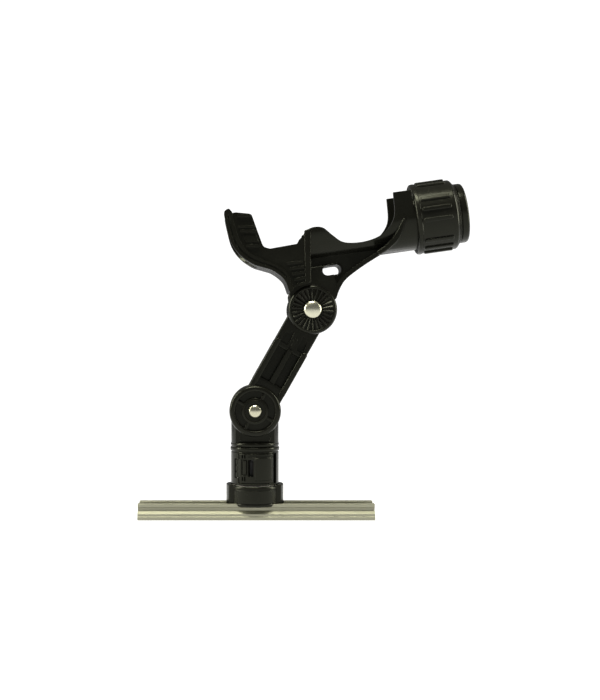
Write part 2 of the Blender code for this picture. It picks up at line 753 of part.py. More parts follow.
def cut_tube_grooves(rod):
    body = bpy.data.objects["cradle_body"]
    for name, floor, low, high in (("wire_groove", 24.9, 100.0, 102.0), ("strip_groove", 24.8, 124.3, 128.7)):
        groove = flat_ring(name, rod, floor, 30, low, high, 40)
        groove.rotation_euler = (0, 0, math.radians(PHASE / 2))
        cut(body, groove)


def main():
    post = frame("post_axis", POST_X, 0, side=False)
    upright = frame("lower_hinge", POST_X, LOWER_Z)
    arm = frame("arm_hinge", POST_X, LOWER_Z, -ARM_LEAN)
    lean = math.radians(ARM_LEAN)
    upper_x = POST_X + ARM_LENGTH * math.sin(lean)
    upper_z = LOWER_Z + ARM_LENGTH * math.cos(lean)
    cradle = frame("upper_hinge", upper_x, upper_z, ROD_TILT)
    rod = bpy.data.objects.new("rod_axis", None)
    parts.objects.link(rod)
    rod.parent = cradle
    rod.location = (0, ROD_AXIS * MM, 0)
    rod.rotation_euler = (0, math.radians(90), 0)
    make_track()
    make_tee_bolt(post)
    make_base(post)
    make_post(post)
    make_lock(post)
    make_latch(post)
    make_lever_spring(post)
    make_neck(upright)
    make_arm(arm)
    make_lower_joint(arm)
    make_cradle(cradle, rod)
    make_upper_joint(cradle)
    make_collar(rod)
    make_collar_keepers(rod)
    cut_tube_grooves(rod)


clear_scene()
parts = make_collection(COLLECTION)
cutters = make_collection("cutters")
main()
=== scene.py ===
# %% [markdown]
# # A track-mounted rod holder
# The holder is a stack of moulded black nylon pieces on an aluminium T-slot track: a base clamped to the
# track, a quick-release lock barrel that swivels on it, a pivot neck, a hinged arm, and a forked cradle whose
# turning collar keeps a rod in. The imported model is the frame. Every visible moulding is built here again
# with its rounded edges, ribs and teeth, in the place of the plain solid it stands for.

import json
from math import asin, atan2, cos, degrees, pi, radians, sin

import bmesh
import bpy
from mathutils import Matrix, Vector


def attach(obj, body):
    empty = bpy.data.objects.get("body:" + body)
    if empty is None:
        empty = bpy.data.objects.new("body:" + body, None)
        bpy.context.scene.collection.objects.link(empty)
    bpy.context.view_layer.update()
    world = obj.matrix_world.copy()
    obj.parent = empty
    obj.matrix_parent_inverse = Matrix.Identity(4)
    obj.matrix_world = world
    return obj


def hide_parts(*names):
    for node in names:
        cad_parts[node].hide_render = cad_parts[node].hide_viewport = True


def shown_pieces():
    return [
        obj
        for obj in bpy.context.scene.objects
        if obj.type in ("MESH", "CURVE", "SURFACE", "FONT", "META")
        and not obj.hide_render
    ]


bpy.ops.wm.read_factory_settings(use_empty=True)
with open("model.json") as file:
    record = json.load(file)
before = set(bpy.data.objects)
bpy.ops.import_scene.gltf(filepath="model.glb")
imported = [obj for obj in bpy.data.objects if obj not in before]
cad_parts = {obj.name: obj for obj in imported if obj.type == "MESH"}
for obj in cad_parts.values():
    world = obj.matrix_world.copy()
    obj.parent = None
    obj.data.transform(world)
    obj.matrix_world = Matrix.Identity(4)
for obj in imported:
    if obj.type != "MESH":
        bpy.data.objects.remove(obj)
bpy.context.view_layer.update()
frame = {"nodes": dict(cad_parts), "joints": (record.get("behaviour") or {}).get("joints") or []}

# %% [markdown]
# ## Where things are
# Every moulding is drawn in millimetres in a frame of its own, and a matrix puts it in the row frame. Hinged
# pieces are drawn flat, as seen from the near side: x along or across the piece, y up it, z out of the near
# face. The hinge centres and the rod's direction come from the model's joints, so a piece can't drift off
# its pivot.

# %% Frames of the pieces
MM = Matrix.Scale(0.001, 4)
joints = {joint["name"]: joint for joint in frame["joints"]}
LOWER = Vector(joints["lower_hinge"]["pos_m"])
UPPER = Vector(joints["upper_hinge"]["pos_m"])
ROD_DIRECTION = Vector(joints["collar_turn"]["axis"])
POST_X = LOWER.x
ARM_LENGTH = (UPPER - LOWER).length * 1000
FACE_NEAR = Matrix.Rotation(radians(90), 4, "X")


def side_place(centre, turn):
    """The matrix of a piece drawn from the near side about a hinge, turned about +Y."""
    return Matrix.Translation(centre) @ Matrix.Rotation(turn, 4, "Y") @ FACE_NEAR @ MM


arm_lean = atan2(UPPER.x - LOWER.x, UPPER.z - LOWER.z)
rod_tilt = atan2(ROD_DIRECTION.z, ROD_DIRECTION.x)
AT_POST = Matrix.Translation((POST_X, 0, 0)) @ MM
AT_NECK = side_place(LOWER, 0)
AT_ARM = side_place(LOWER, arm_lean)
AT_CRADLE = side_place(UPPER, -rod_tilt)
ROD_AXIS = 65.3
ROD_IN_CRADLE = Matrix.Translation((0, ROD_AXIS, 0)) @ Matrix.Rotation(radians(90), 4, "Y")
AT_ROD = AT_CRADLE @ ROD_IN_CRADLE
AT_TRACK = Matrix(((0, 0, 1, 0), (1, 0, 0, 0), (0, 1, 0, 0), (0, 0, 0, 1))) @ MM
ALONG_Y = Matrix.Rotation(radians(-90), 4, "X")
print(f"arm {ARM_LENGTH:.1f} mm long, leaning {degrees(arm_lean):.1f} degrees")
print(f"rod rising {degrees(rod_tilt):.1f} degrees")

# %% [markdown]
# ## Drawing outlines
# A moulding starts as an outline of points. A point with a third value lies on a smooth stretch, where a
# curve is run through its neighbours, and the others stay corners until `fillet` rounds them.


# %% Outline helpers
def arc(cx, cy, radius, start, end, count):
    """Points along an arc, in degrees, counted from +x towards +y."""
    turns = [radians(start + (end - start) * i / (count - 1)) for i in range(count)]
    return [(cx + radius * cos(a), cy + radius * sin(a)) for a in turns]


def flow(points, per=5):
    """Runs a smooth curve through the points marked smooth, with per steps between two of them."""
    out = []
    count = len(points)
    for i, here in enumerate(points):
        ahead = points[(i + 1) % count]
        out.append((here[0], here[1]))
        if len(here) == 2 and len(ahead) == 2:
            continue
        before, after = points[i - 1], points[(i + 2) % count]
        a, b = Vector(here[:2]), Vector(ahead[:2])
        start = (b - Vector(before[:2])) / 2 if len(here) == 3 else b - a
        end = (Vector(after[:2]) - a) / 2 if len(ahead) == 3 else b - a
        for k in range(1, per):
            t = k / per
            point = (
                a * (2 * t**3 - 3 * t**2 + 1)
                + start * (t**3 - 2 * t**2 + t)
                + b * (3 * t**2 - 2 * t**3)
                + end * (t**3 - t**2)
            )
            out.append(tuple(point))
    return out


def fillet(points, radius, per=4):
    """Rounds the corners that turn by more than 20 degrees."""
    out = []
    count = len(points)
    for i, here in enumerate(points):
        p, a, b = Vector(here), Vector(points[i - 1]), Vector(points[(i + 1) % count])
        u, v = (a - p), (b - p)
        reach = min(u.length, v.length) * 0.45
        angle = u.angle(v, pi)
        if angle > radians(160) or reach < 0.02:
            out.append(tuple(p))
            continue
        cut = min(reach, radius / max(0.05, abs(sin(angle / 2) / cos(angle / 2))))
        start, end = p + u.normalized() * cut, p + v.normalized() * cut
        for k in range(per + 1):
            t = k / per
            out.append(tuple(start * (1 - t) ** 2 + p * 2 * t * (1 - t) + end * t * t))
    return out


# %% [markdown]
# ## Making solids
# A `slab` is an outline extruded and bevelled on its sharp edges. A `turned` piece is a profile spun about
# z. A bmesh holds each of them, and `mould` joins and cuts them with Booleans, the way a mould's cavities
# and cores meet, before the piece is put in its place. The Manifold solver is used because every shape here
# is a closed solid, which is all that it asks.


# %% Solid helpers
BOLT_HOLE_R = 4.4
PIN_HOLE_R = 1.6
MERGE_GAP = 0.002


def sharp_edges(bm, least=30):
    return [e for e in bm.edges if e.is_manifold and e.calc_face_angle() > radians(least)]


def round_off(bm, edge, steps=3, least=30):
    """Bevels a solid's sharp edges."""
    if edge:
        bmesh.ops.bevel(
            bm, geom=sharp_edges(bm, least), offset=edge, offset_type="OFFSET", segments=steps,
            profile=0.5, affect="EDGES", clamp_overlap=True, material=-1,
        )
        bmesh.ops.dissolve_degenerate(bm, dist=0.001, edges=bm.edges)
    return bm


def slab(outline, low, high, edge=0.5, steps=3):
    """An outline given a thickness along z."""
    bm = bmesh.new()
    face = bm.faces.new([bm.verts.new((x, y, low)) for x, y in outline])
    grown = bmesh.ops.extrude_face_region(bm, geom=[face])["geom"]
    top = [v for v in grown if isinstance(v, bmesh.types.BMVert)]
    bmesh.ops.translate(bm, verts=top, vec=(0, 0, high - low))
    bmesh.ops.recalc_face_normals(bm, faces=bm.faces)
    return round_off(bm, edge, steps)


def block(xs, ys, zs, edge=0.5, steps=3):
    """A box with rounded edges."""
    outline = [(xs[0], ys[0]), (xs[1], ys[0]), (xs[1], ys[1]), (xs[0], ys[1])]
    return slab(outline, zs[0], zs[1], edge, steps)


def turned(profile, steps=72, closed=True):
    """A profile of (radius, z) points spun about z. An open one starts and ends on the axis."""
    bm = bmesh.new()
    verts = [bm.verts.new((r, 0, z)) for r, z in profile]
    edges = [bm.edges.new((a, b)) for a, b in zip(verts, verts[1:])]
    if closed:
        edges.append(bm.edges.new((verts[-1], verts[0])))
    bmesh.ops.spin(
        bm, geom=verts + edges, cent=(0, 0, 0), axis=(0, 0, 1), dvec=(0, 0, 0),
        angle=2 * pi, steps=steps, use_merge=True, use_duplicate=False,
    )
    bmesh.ops.remove_doubles(bm, verts=bm.verts, dist=0.0001)
    bmesh.ops.recalc_face_normals(bm, faces=bm.faces)
    return bm


def rod(radius, low, high, at=(0, 0), steps=48, edge=0.0):
    """A round bar along z with broken edges."""
    if edge:
        profile = [(0, low), (radius - edge, low), (radius, low + edge)]
        profile += [(radius, high - edge), (radius - edge, high), (0, high)]
    else:
        profile = [(0, low), (radius, low), (radius, high), (0, high)]
    return moved(turned(profile, steps, closed=False), Matrix.Translation((*at, 0)))


def moved(bm, matrix):
    """Transforms a solid, and turns its faces back out if that mirrors it."""
    bmesh.ops.transform(bm, matrix=matrix, verts=bm.verts)
    if matrix.determinant() < 0:
        bmesh.ops.reverse_faces(bm, faces=bm.faces)
    return bm


def together(*shapes):
    """Several separate solids in one bmesh, for one Boolean."""
    bm = bmesh.new()
    for shape in shapes:
        mesh = bpy.data.meshes.new("part")
        shape.to_mesh(mesh)
        shape.free()
        bm.from_mesh(mesh)
        bpy.data.meshes.remove(mesh)
    return bm


def lone(name, bm):
    """An object of a bmesh, which is used up."""
    mesh = bpy.data.meshes.new(name)
    bm.to_mesh(mesh)
    bm.free()
    obj = bpy.data.objects.new(name, mesh)
    bpy.context.scene.collection.objects.link(obj)
    return obj


def mould(name, first, *steps):
    """Adds ("UNION", bm), cuts ("DIFFERENCE", bm) or keeps what is shared with ("INTERSECT", bm)."""
    obj = lone(name, first)
    tools = []
    for operation, bm in steps:
        tool = lone("tool", bm)
        tools.append(tool)
        modifier = obj.modifiers.new("join", "BOOLEAN")
        modifier.operation = operation
        modifier.solver = "MANIFOLD"
        modifier.object = tool
    seen = obj.evaluated_get(bpy.context.evaluated_depsgraph_get())
    made = bmesh.new()
    made.from_mesh(bpy.data.meshes.new_from_object(seen))
    for old in (obj, *tools):
        bpy.data.objects.remove(old)
    bmesh.ops.remove_doubles(made, verts=made.verts, dist=MERGE_GAP)
    bmesh.ops.dissolve_degenerate(made, dist=MERGE_GAP, edges=made.edges)
    return made


def add(bm):
    return ("UNION", bm)


def cut(bm):
    return ("DIFFERENCE", bm)


def piece(name, bm, place, body, nodes, material, smooth=38):
    """Puts a solid in its place as a finished piece that rides on a body and stands for CAD nodes."""
    moved(bm, place)
    open_edges = sum(not e.is_manifold for e in bm.edges)
    obj = lone(name, bm)
    obj.data.shade_smooth()
    obj.data.set_sharp_from_angle(angle=radians(smooth))
    even = obj.modifiers.new("even shading", "WEIGHTED_NORMAL")
    even.keep_sharp = True
    obj.data.materials.append(material)
    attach(obj, body)
    if nodes:
        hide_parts(*nodes)
    low, high = (Vector(obj.bound_box[i]) for i in (0, 6))
    size = " x ".join(f"{v * 1000:.1f}" for v in high - low)
    print(f"{name}: {len(obj.data.polygons)} faces, {size} mm, {open_edges} open edges")
    return obj


# %% [markdown]
# ## Finishes
# A material is written as sums on sockets. `Value` wraps a socket so that `1 - mask` or `grain * 0.3` adds
# the Math node it stands for, and `Finish.node` makes every other kind of node from its type, settings and
# inputs. Only what changes over the surface is linked; everything even is set on the shader's own socket.


# %% Shader helpers
class Value:
    """A number that changes over the surface."""

    def __init__(self, finish, socket):
        self.finish = finish
        self.socket = socket

    def math(self, operation, *terms):
        settings = {"operation": operation}
        return self.finish.node("ShaderNodeMath", settings, dict(enumerate(terms)))["Value"]

    def __add__(self, other):
        return self.math("ADD", self, other)

    __radd__ = __add__

    def __sub__(self, other):
        return self.math("SUBTRACT", self, other)

    def __rsub__(self, other):
        return self.math("SUBTRACT", other, self)

    def __mul__(self, other):
        return self.math("MULTIPLY", self, other)

    __rmul__ = __mul__

    def __pow__(self, other):
        return self.math("POWER", self, other)

    def above(self, low, high):
        """0 below low, 1 above high, and smooth between."""
        settings = {"interpolation_type": "SMOOTHSTEP"}
        inputs = {"Value": self, "From Min": low, "From Max": high}
        return self.finish.node("ShaderNodeMapRange", settings, inputs)["Result"]


class Made:
    """A node that has been made; square brackets give its outputs as values."""

    def __init__(self, finish, node):
        self.finish = finish
        self.made = node

    def __getitem__(self, name):
        return Value(self.finish, self.made.outputs[name])


class Finish:
    """One material and its Principled shader."""

    def __init__(self, name, **even):
        self.material = bpy.data.materials.new(name)
        self.material.use_nodes = True
        self.tree = self.material.node_tree
        self.shader = self.tree.nodes["Principled BSDF"]
        for key, value in even.items():
            self.shader.inputs[key.replace("_", " ").title().replace("Ior", "IOR")].default_value = value

    def feed(self, socket, value):
        if isinstance(value, Value):
            self.tree.links.new(value.socket, socket)
        else:
            socket.default_value = value

    def node(self, kind, settings=None, inputs=None):
        made = self.tree.nodes.new(kind)
        for key, value in (settings or {}).items():
            setattr(made, key, value)
        for key, value in (inputs or {}).items():
            self.feed(made.inputs[key], value)
        return Made(self, made)

    def set(self, name, value):
        self.feed(self.shader.inputs[name], value)

    def place(self):
        return self.node("ShaderNodeTexCoord")["Object"]

    def stretched(self, vector, scale, centre=(0, 0, 0), turn=(0, 0, 0)):
        """The place with a centre moved to zero, turned, and drawn out or squeezed along its axes."""
        inputs = {"Vector": vector, "Location": centre, "Rotation": turn, "Scale": scale}
        return self.node("ShaderNodeMapping", {"vector_type": "TEXTURE"}, inputs)["Vector"]

    def noise(self, vector, scale, detail=3.0, rough=0.55):
        inputs = {"Vector": vector, "Scale": scale, "Detail": detail, "Roughness": rough}
        return self.node("ShaderNodeTexNoise", None, inputs)["Fac"]

    def mix(self, amount, first, second):
        """One colour over another."""
        inputs = {"Factor": amount, 6: first, 7: second}
        return Value(self, self.node("ShaderNodeMix", {"data_type": "RGBA"}, inputs).made.outputs[2])

    def bump(self, height, strength, distance, edge=0.0):
        """Height as a bump; with edge, over corners softened by that many metres."""
        inputs = {"Height": height, "Strength": strength, "Distance": distance}
        if edge:
            inputs["Normal"] = self.node("ShaderNodeBevel", {"samples": 4}, {"Radius": edge})["Normal"]
        self.set("Normal", self.node("ShaderNodeBump", None, inputs)["Normal"])


# %% [markdown]
# ### Black moulded nylon
# Glass-filled nylon comes out of the mould a warm, nearly black grey. Its skin has a fine spark-eroded
# grain, wide swirls where the melt flowed and cooled at different rates, and a few hairline scuffs on the
# faces that rub. The grain is a bump; flow and scuffs change the roughness and, a little, the colour.


# %% Nylon
def moulded_nylon(name, dark, light, roughness, grain_depth, softened=0.00035):
    nylon = Finish(name, roughness=roughness, specular_ior_level=0.16, specular_tint=(0.97, 1, 0.8, 1))
    place = nylon.place()
    grain = nylon.noise(place, 2300, 4.0, 0.62)
    flow_marks = nylon.noise(nylon.stretched(place, (0.012, 0.03, 0.012)), 1.0, 4.0, 0.6)
    scuff_lines = nylon.noise(nylon.stretched(place, (0.0003, 0.009, 0.004), turn=(0.3, 0.5, 0.2)), 1.0, 2.0)
    scuffs = scuff_lines.above(0.66, 0.74) * flow_marks.above(0.45, 0.6)
    nylon.set("Base Color", nylon.mix(flow_marks * 0.7 + scuffs * 0.25, dark, light))
    nylon.set("Roughness", roughness + (flow_marks - 0.5) * 0.16 + (grain - 0.5) * 0.10 - scuffs * 0.08)
    nylon.bump(grain + flow_marks * 0.4 + scuffs * 0.3, 0.35, grain_depth, softened)
    return nylon.material


DEEP_BLACK = (0.004, 0.004, 0.003, 1), (0.008, 0.008, 0.006, 1)
WORN_BLACK = (0.005, 0.005, 0.004, 1), (0.009, 0.009, 0.007, 1)
black_nylon = moulded_nylon("black nylon", *DEEP_BLACK, 0.22, 0.00003)
gloss_nylon = moulded_nylon("smooth black nylon", *WORN_BLACK, 0.19, 0.00002)
coarse_nylon = moulded_nylon("grained black nylon", *WORN_BLACK, 0.25, 0.00005)
print("nylon finishes:", black_nylon.name, gloss_nylon.name, coarse_nylon.name)

# %% [markdown]
# ### Anodised extrusion
# The track is drawn through a die, so it carries fine straight lines along its length. Anodising leaves
# them satin and a little warm. Long, thin noise along x gives the die lines, and a wider one the faint
# bands of the bath.


# %% Anodised aluminium
def anodised():
    metal = Finish("anodised aluminium", metallic=1.0, roughness=0.36)
    place = metal.place()
    die_lines = metal.noise(metal.stretched(place, (0.4, 0.00022, 0.00022)), 1.0, 3.0, 0.7)
    bands = metal.noise(metal.stretched(place, (0.12, 0.006, 0.006)), 1.0, 3.0, 0.5)
    speck = metal.noise(place, 1800, 2.0)
    dark, light = (0.31, 0.305, 0.235, 1), (0.41, 0.405, 0.315, 1)
    metal.set("Base Color", metal.mix(bands * 0.6 + die_lines * 0.4, dark, light))
    metal.set("Roughness", 0.50 + die_lines * 0.14 + (speck - 0.5) * 0.08)
    metal.bump(die_lines + speck * 0.25, 0.3, 0.00003, 0.00025)
    return metal.material


anodised_metal = anodised()
print("track finish:", anodised_metal.name)

# %% [markdown]
# ### Bolts, nuts and springs
# A cold-headed stainless bolt is tumbled and turned: its dome has faint rings round its own axis under a
# bright polish. The distance from the axis, drawn into narrow noise, gives those rings. The pattern is
# centred on each bolt by taking the hinge centre off the place's x and z, since object coordinates start at
# the track's middle.


# %% Steels
def turned_steel(name, centre, colour, roughness, ring_pitch=0.0004):
    """Steel with tool rings about a hinge axis, which runs along y."""
    steel = Finish(name, metallic=1.0, roughness=roughness)
    place = steel.place()
    parts = steel.node("ShaderNodeSeparateXYZ", None, {0: place})
    from_x, from_z = parts["X"] - centre.x, parts["Z"] - centre.z
    radius = (from_x * from_x + from_z * from_z) ** 0.5
    ring_inputs = {"W": radius, "Scale": 1 / ring_pitch}
    rings = steel.node("ShaderNodeTexNoise", {"noise_dimensions": "1D"}, ring_inputs)["Fac"]
    haze = steel.noise(place, 420, 4.0, 0.6)
    scratches = steel.noise(steel.stretched(place, (0.0002, 0.004, 0.002), turn=(0.2, 0.7, 0.4)), 1.0, 2.0)
    steel.set("Base Color", steel.mix(haze, colour, tuple(c * 0.82 for c in colour[:3]) + (1,)))
    steel.set("Roughness", roughness + rings * 0.10 + (haze - 0.5) * 0.10 + scratches.above(0.62, 0.7) * 0.08)
    steel.bump(rings + scratches * 0.2, 0.25, 0.00002, 0.0002)
    return steel.material


def drawn_steel(name, colour, roughness):
    """Plain bright steel with a drawn or cut surface."""
    steel = Finish(name, metallic=1.0, roughness=roughness)
    place = steel.place()
    drag = steel.noise(steel.stretched(place, (0.0004, 0.0004, 0.006)), 1.0, 3.0, 0.6)
    haze = steel.noise(place, 600, 4.0, 0.6)
    steel.set("Base Color", steel.mix(haze, colour, tuple(c * 0.75 for c in colour[:3]) + (1,)))
    steel.set("Roughness", roughness + (drag - 0.5) * 0.22 + (haze - 0.5) * 0.08)
    steel.bump(drag + haze * 0.3, 0.3, 0.00002, 0.0002)
    return steel.material


lower_bolt_steel = turned_steel("lower bolt steel", LOWER, (0.55, 0.53, 0.40, 1), 0.22)
upper_bolt_steel = turned_steel("upper bolt steel", UPPER, (0.60, 0.59, 0.46, 1), 0.22)
nut_steel = drawn_steel("nut and washer steel", (0.60, 0.59, 0.56, 1), 0.30)
spring_steel = drawn_steel("spring steel", (0.36, 0.35, 0.33, 1), 0.34)
print("steel finishes:", lower_bolt_steel.name, upper_bolt_steel.name, nut_steel.name, spring_steel.name)

# %% [markdown]
# ### Rubber, acetal, brass
# The friction washers are dull rubber with a powdery bloom, the swivel bushing is cream acetal with turning
# marks, and the knob's insert is yellow brass. They are mostly hidden, but they show in the gaps.


# %% Small finishes
def bloomed_rubber():
    rubber = Finish("friction rubber", roughness=0.82)
    place = rubber.place()
    bloom = rubber.noise(place, 260, 5.0, 0.65)
    pores = rubber.noise(place, 3000, 2.0)
    clean, powdery = (0.018, 0.018, 0.018, 1), (0.060, 0.058, 0.055, 1)
    rubber.set("Base Color", rubber.mix(bloom.above(0.45, 0.75), clean, powdery))
    rubber.set("Roughness", 0.70 + bloom * 0.22)
    rubber.bump(pores + bloom * 0.5, 0.4, 0.00005)
    return rubber.material


def waxy_acetal(name, dark, light, roughness):
    acetal = Finish(name, roughness=roughness)
    place = acetal.place()
    lathe_marks = acetal.noise(acetal.stretched(place, (0.02, 0.02, 0.0004)), 1.0, 3.0)
    cloud = acetal.noise(place, 90, 3.0)
    acetal.set("Base Color", acetal.mix(cloud, dark, light))
    acetal.set("Roughness", roughness + (lathe_marks - 0.5) * 0.2)
    acetal.bump(lathe_marks, 0.3, 0.00003)
    return acetal.material


friction_rubber = bloomed_rubber()
cream_acetal = waxy_acetal("cream acetal", (0.52, 0.50, 0.44, 1), (0.68, 0.66, 0.60, 1), 0.42)
post_nylon = waxy_acetal("post nylon", (0.030, 0.030, 0.030, 1), (0.055, 0.055, 0.053, 1), 0.40)
insert_brass = drawn_steel("insert brass", (0.72, 0.52, 0.22, 1), 0.28)
print("small finishes:", friction_rubber.name, cream_acetal.name, post_nylon.name, insert_brass.name)

# %% [markdown]
# ## The track
# An extrusion has one section all along it: a flat foot, stepped and grooved flanks, and two lips over a
# T-shaped slot. The half section is drawn once, mirrored, filleted as a die leaves it, and run out to
# 203 mm. Screw holes are countersunk through the slot's floor.

# %% Track section
HALF_SECTION = [
    (2.0, 0), (2.6, 0.5), (8.0, 0.5), (8.6, 0), (17.2, 0), (18.0, 0.8), (18.0, 3.0), (17.3, 3.3),
    (17.3, 5.4), (14.9, 7.1), (14.2, 7.6), (13.2, 7.6), (13.2, 10.4), (14.5, 10.9), (14.5, 13.6),
    (10.6, 13.6), (10.2, 13.3), (9.8, 13.6), (5.5, 13.6), (5.5, 11.2), (10.6, 11.2), (10.6, 4.0),
    (1.0, 4.0), (0.6, 3.7),
]
TRACK_HALF = 101.6
HOLE_PITCH = 44.5
SCREW_HOLES = 4


def track():
    mirrored = [(-x, y) for x, y in reversed(HALF_SECTION)]
    section = fillet(HALF_SECTION + mirrored, 0.35, 3)
    rail = slab(section, -TRACK_HALF, TRACK_HALF, 0.22, 2)
    cuts = []
    for i in range(SCREW_HOLES):
        along = (i - (SCREW_HOLES - 1) / 2) * HOLE_PITCH
        sink = [(0, 6), (4.9, 6), (4.9, 4.05), (2.6, 1.9), (2.6, -1), (0, -1)]
        cuts.append(moved(turned(sink, 32, closed=False), Matrix.Translation((0, 0, along)) @ ALONG_Y))
        for side in (-1, 1):
            dimple = moved(rod(0.9, -0.5, 2), Matrix.Rotation(radians(90), 4, "Y"))
            if side < 0:
                moved(dimple, Matrix.Rotation(pi, 4, "Z"))
            cuts.append(moved(dimple, Matrix.Translation((side * 17.3, 4.3, along))))
    return mould("track", rail, cut(together(*cuts)))


piece("rail", track(), AT_TRACK, "track", ["track_rail"], anodised_metal, 25)

# %% [markdown]
# ## The base
# A squat drum straddles the track. A groove sets off its rounded top band, two wings reach along the track
# and stand on small feet, and an apron hangs over each flank. The drum is spun, the wings are a slab, and
# the track's channel and the post's recess are cut from both.


# %% Base
WING_R, WING_HALF = 24.8, 11
TRACK_TOP = 13.9


def base():
    drum = [(0, 29.0), (20.4, 29.0), (21.2, 28.6), (21.7, 27.8), (21.7, 26.5), (21.3, 26.2), (21.3, 25.6)]
    drum += [(21.7, 25.3), (21.7, 14.4), (21.0, 14.0), (21.3, 13.4), (21.3, 12.2), (20.8, 11.5), (20.2, 11.3)]
    drum = turned(drum + [(0, 11.3)], 96, closed=False)
    reach = degrees(asin(WING_HALF / WING_R))
    lobes = arc(0, 0, WING_R, -reach, reach, 9) + arc(0, 0, WING_R, 180 - reach, 180 + reach, 9)
    wings = slab(lobes, TRACK_TOP, 30.2, 0.8, 3)
    feet = []
    for side in (-1, 1):
        feet.append(block((side * 23.6 - 1.2, side * 23.6 + 1.2), (-10.4, 10.4), (TRACK_TOP, 16.2), 0.6))
    channel = block((-40, 40), (-15.1, 15.1), (0, TRACK_TOP), 0)
    lock_seat = rod(21.6, 28.9, 40, steps=96)
    post_recess = rod(19.4, 19, 40)
    return mould(
        "base", drum, add(wings), add(together(*feet)), cut(channel), cut(lock_seat), cut(post_recess),
        cut(rod(BOLT_HOLE_R, 5, 30)),
    )


piece("base_drum", base(), AT_POST, "base", ["base_housing"], coarse_nylon)

# %% [markdown]
# ## The lock barrel and its latch
# The barrel turns on the post. A ring runs round its top, and in its near wall sits a curved latch with a
# hinge at its left, a window, and a raised thumb pad at its right. Sectors of a ring, extruded upwards,
# give pieces that follow the barrel's curve.

# %% Sectors of the barrel
LOCK_R = 20.7
HINGE_ANGLE, HINGE_R = -52.0, 18.4


def near_angle(radius, turn):
    """A point at an angle from the near side towards +x, about the post."""
    return (radius * sin(radians(turn)), -radius * cos(radians(turn)))


def sector(inner, outer, start, end, count=12):
    out = [near_angle(outer, start + (end - start) * i / (count - 1)) for i in range(count)]
    back = [near_angle(inner, end + (start - end) * i / (count - 1)) for i in range(count)]
    return out + back


def barrel():
    wall = [(15.6, 62.3), (20.4, 62.3), (21.0, 61.9), (21.2, 61.2), (21.2, 59.6), (20.9, 59.0)]
    wall += [(20.2, 58.6), (20.2, 58.0), (LOCK_R, 57.6), (LOCK_R, 30.6), (20.4, 29.9), (19.8, 29.6)]
    wall += [(15.6, 29.6)]
    recess = slab(sector(17.2, 23, -43.5, 62, 18), 31.3, 57.3, 0.3, 2)
    pocket = slab(sector(17.2, 23, HINGE_ANGLE - 6, -40, 5), 36.0, 52.6, 0.2, 2)
    window = slab(sector(14, 19, -18, -3.5, 5), 37.5, 51.8, 0)
    far_grips = []
    for i in range(9):
        turn = 180 + (i - 4) * 9
        far_grips.append(slab(sector(20.2, 23, turn - 1.8, turn + 1.8, 4), 36, 54, 0.3, 2))
    pin_hole = moved(rod(PIN_HOLE_R, 12, 25), Matrix.Translation((0, 0, 60.4)) @ ALONG_Y)
    return mould(
        "barrel", turned(wall, 96), cut(recess), cut(pocket), cut(window), cut(together(*far_grips)),
        cut(pin_hole),
    )


piece("lock_barrel", barrel(), AT_POST, "lock", ["lock_housing"], black_nylon)

# %% [markdown]
# The latch is a plate that follows the barrel, with a proud thumb pad, narrow slots, a sunken channel round
# its window and a fine groove near its top. Three knuckles hold its pin. Each of these is a sector again,
# so the latch keeps the barrel's curve.


# %% Latch
def latch():
    hinge = near_angle(HINGE_R, HINGE_ANGLE)
    plate = slab(sector(17.5, LOCK_R, -41.5, 50, 18), 31.7, 56.9, 0.55, 3)
    thumb_pad = slab(sector(19.5, 21.4, -1.5, 44, 12), 34.2, 53.6, 0.8, 3)
    window = slab(sector(16, 22.5, -17, -4, 6), 37.6, 51.8, 0.25, 2)
    slots = []
    for low, high in ((53.0, 56.0), (33.6, 37.4)):
        for start, end in ((-33.5, -30.0), (-27.0, -23.5)):
            slots.append(slab(sector(18.6, 22.5, start, end, 3), low, high, 0.2, 2))
    channel = slab(sector(19.3, 22.5, -34.5, -18.5, 8), 38.6, 52.0, 0.3, 2)
    groove = slab(sector(20.1, 22.5, -16, 47.5, 16), 54.2, 54.9, 0.15, 2)
    reach = slab(sector(17.7, 20.0, HINGE_ANGLE, -39, 5), 36.4, 52.2, 0.2, 2)
    knuckles = [rod(2.1, low, low + 4.9, hinge, 32, 0.25) for low in (36.4, 41.8, 47.2)]
    bar = slab(sector(18.6, 20.8, -31.5, -21.5, 5), 39.4, 51.2, 0.5, 3)
    return mould(
        "latch", plate, add(thumb_pad), cut(together(window, *slots)), cut(channel), cut(groove), add(reach),
        add(together(*knuckles, bar)), cut(rod(1.0, 30, 60, hinge, 24)),
    )


def latch_pin():
    return rod(0.9, 33.9, 54.8, near_angle(HINGE_R, HINGE_ANGLE), 24, 0.2)


piece("latch", latch(), AT_POST, "lever", ["release_lever"], gloss_nylon)
piece("latch_pin", latch_pin(), AT_POST, "lock", ["lever_hinge_pin"], spring_steel)


# %% [markdown]
# ## The pivot neck
# The neck is a round stub milled flat on both sides, with a domed top for the hinge. It is a slab drawn
# from the near side, kept only where it lies inside a barrel, and a rounded foot ring meets the lock.


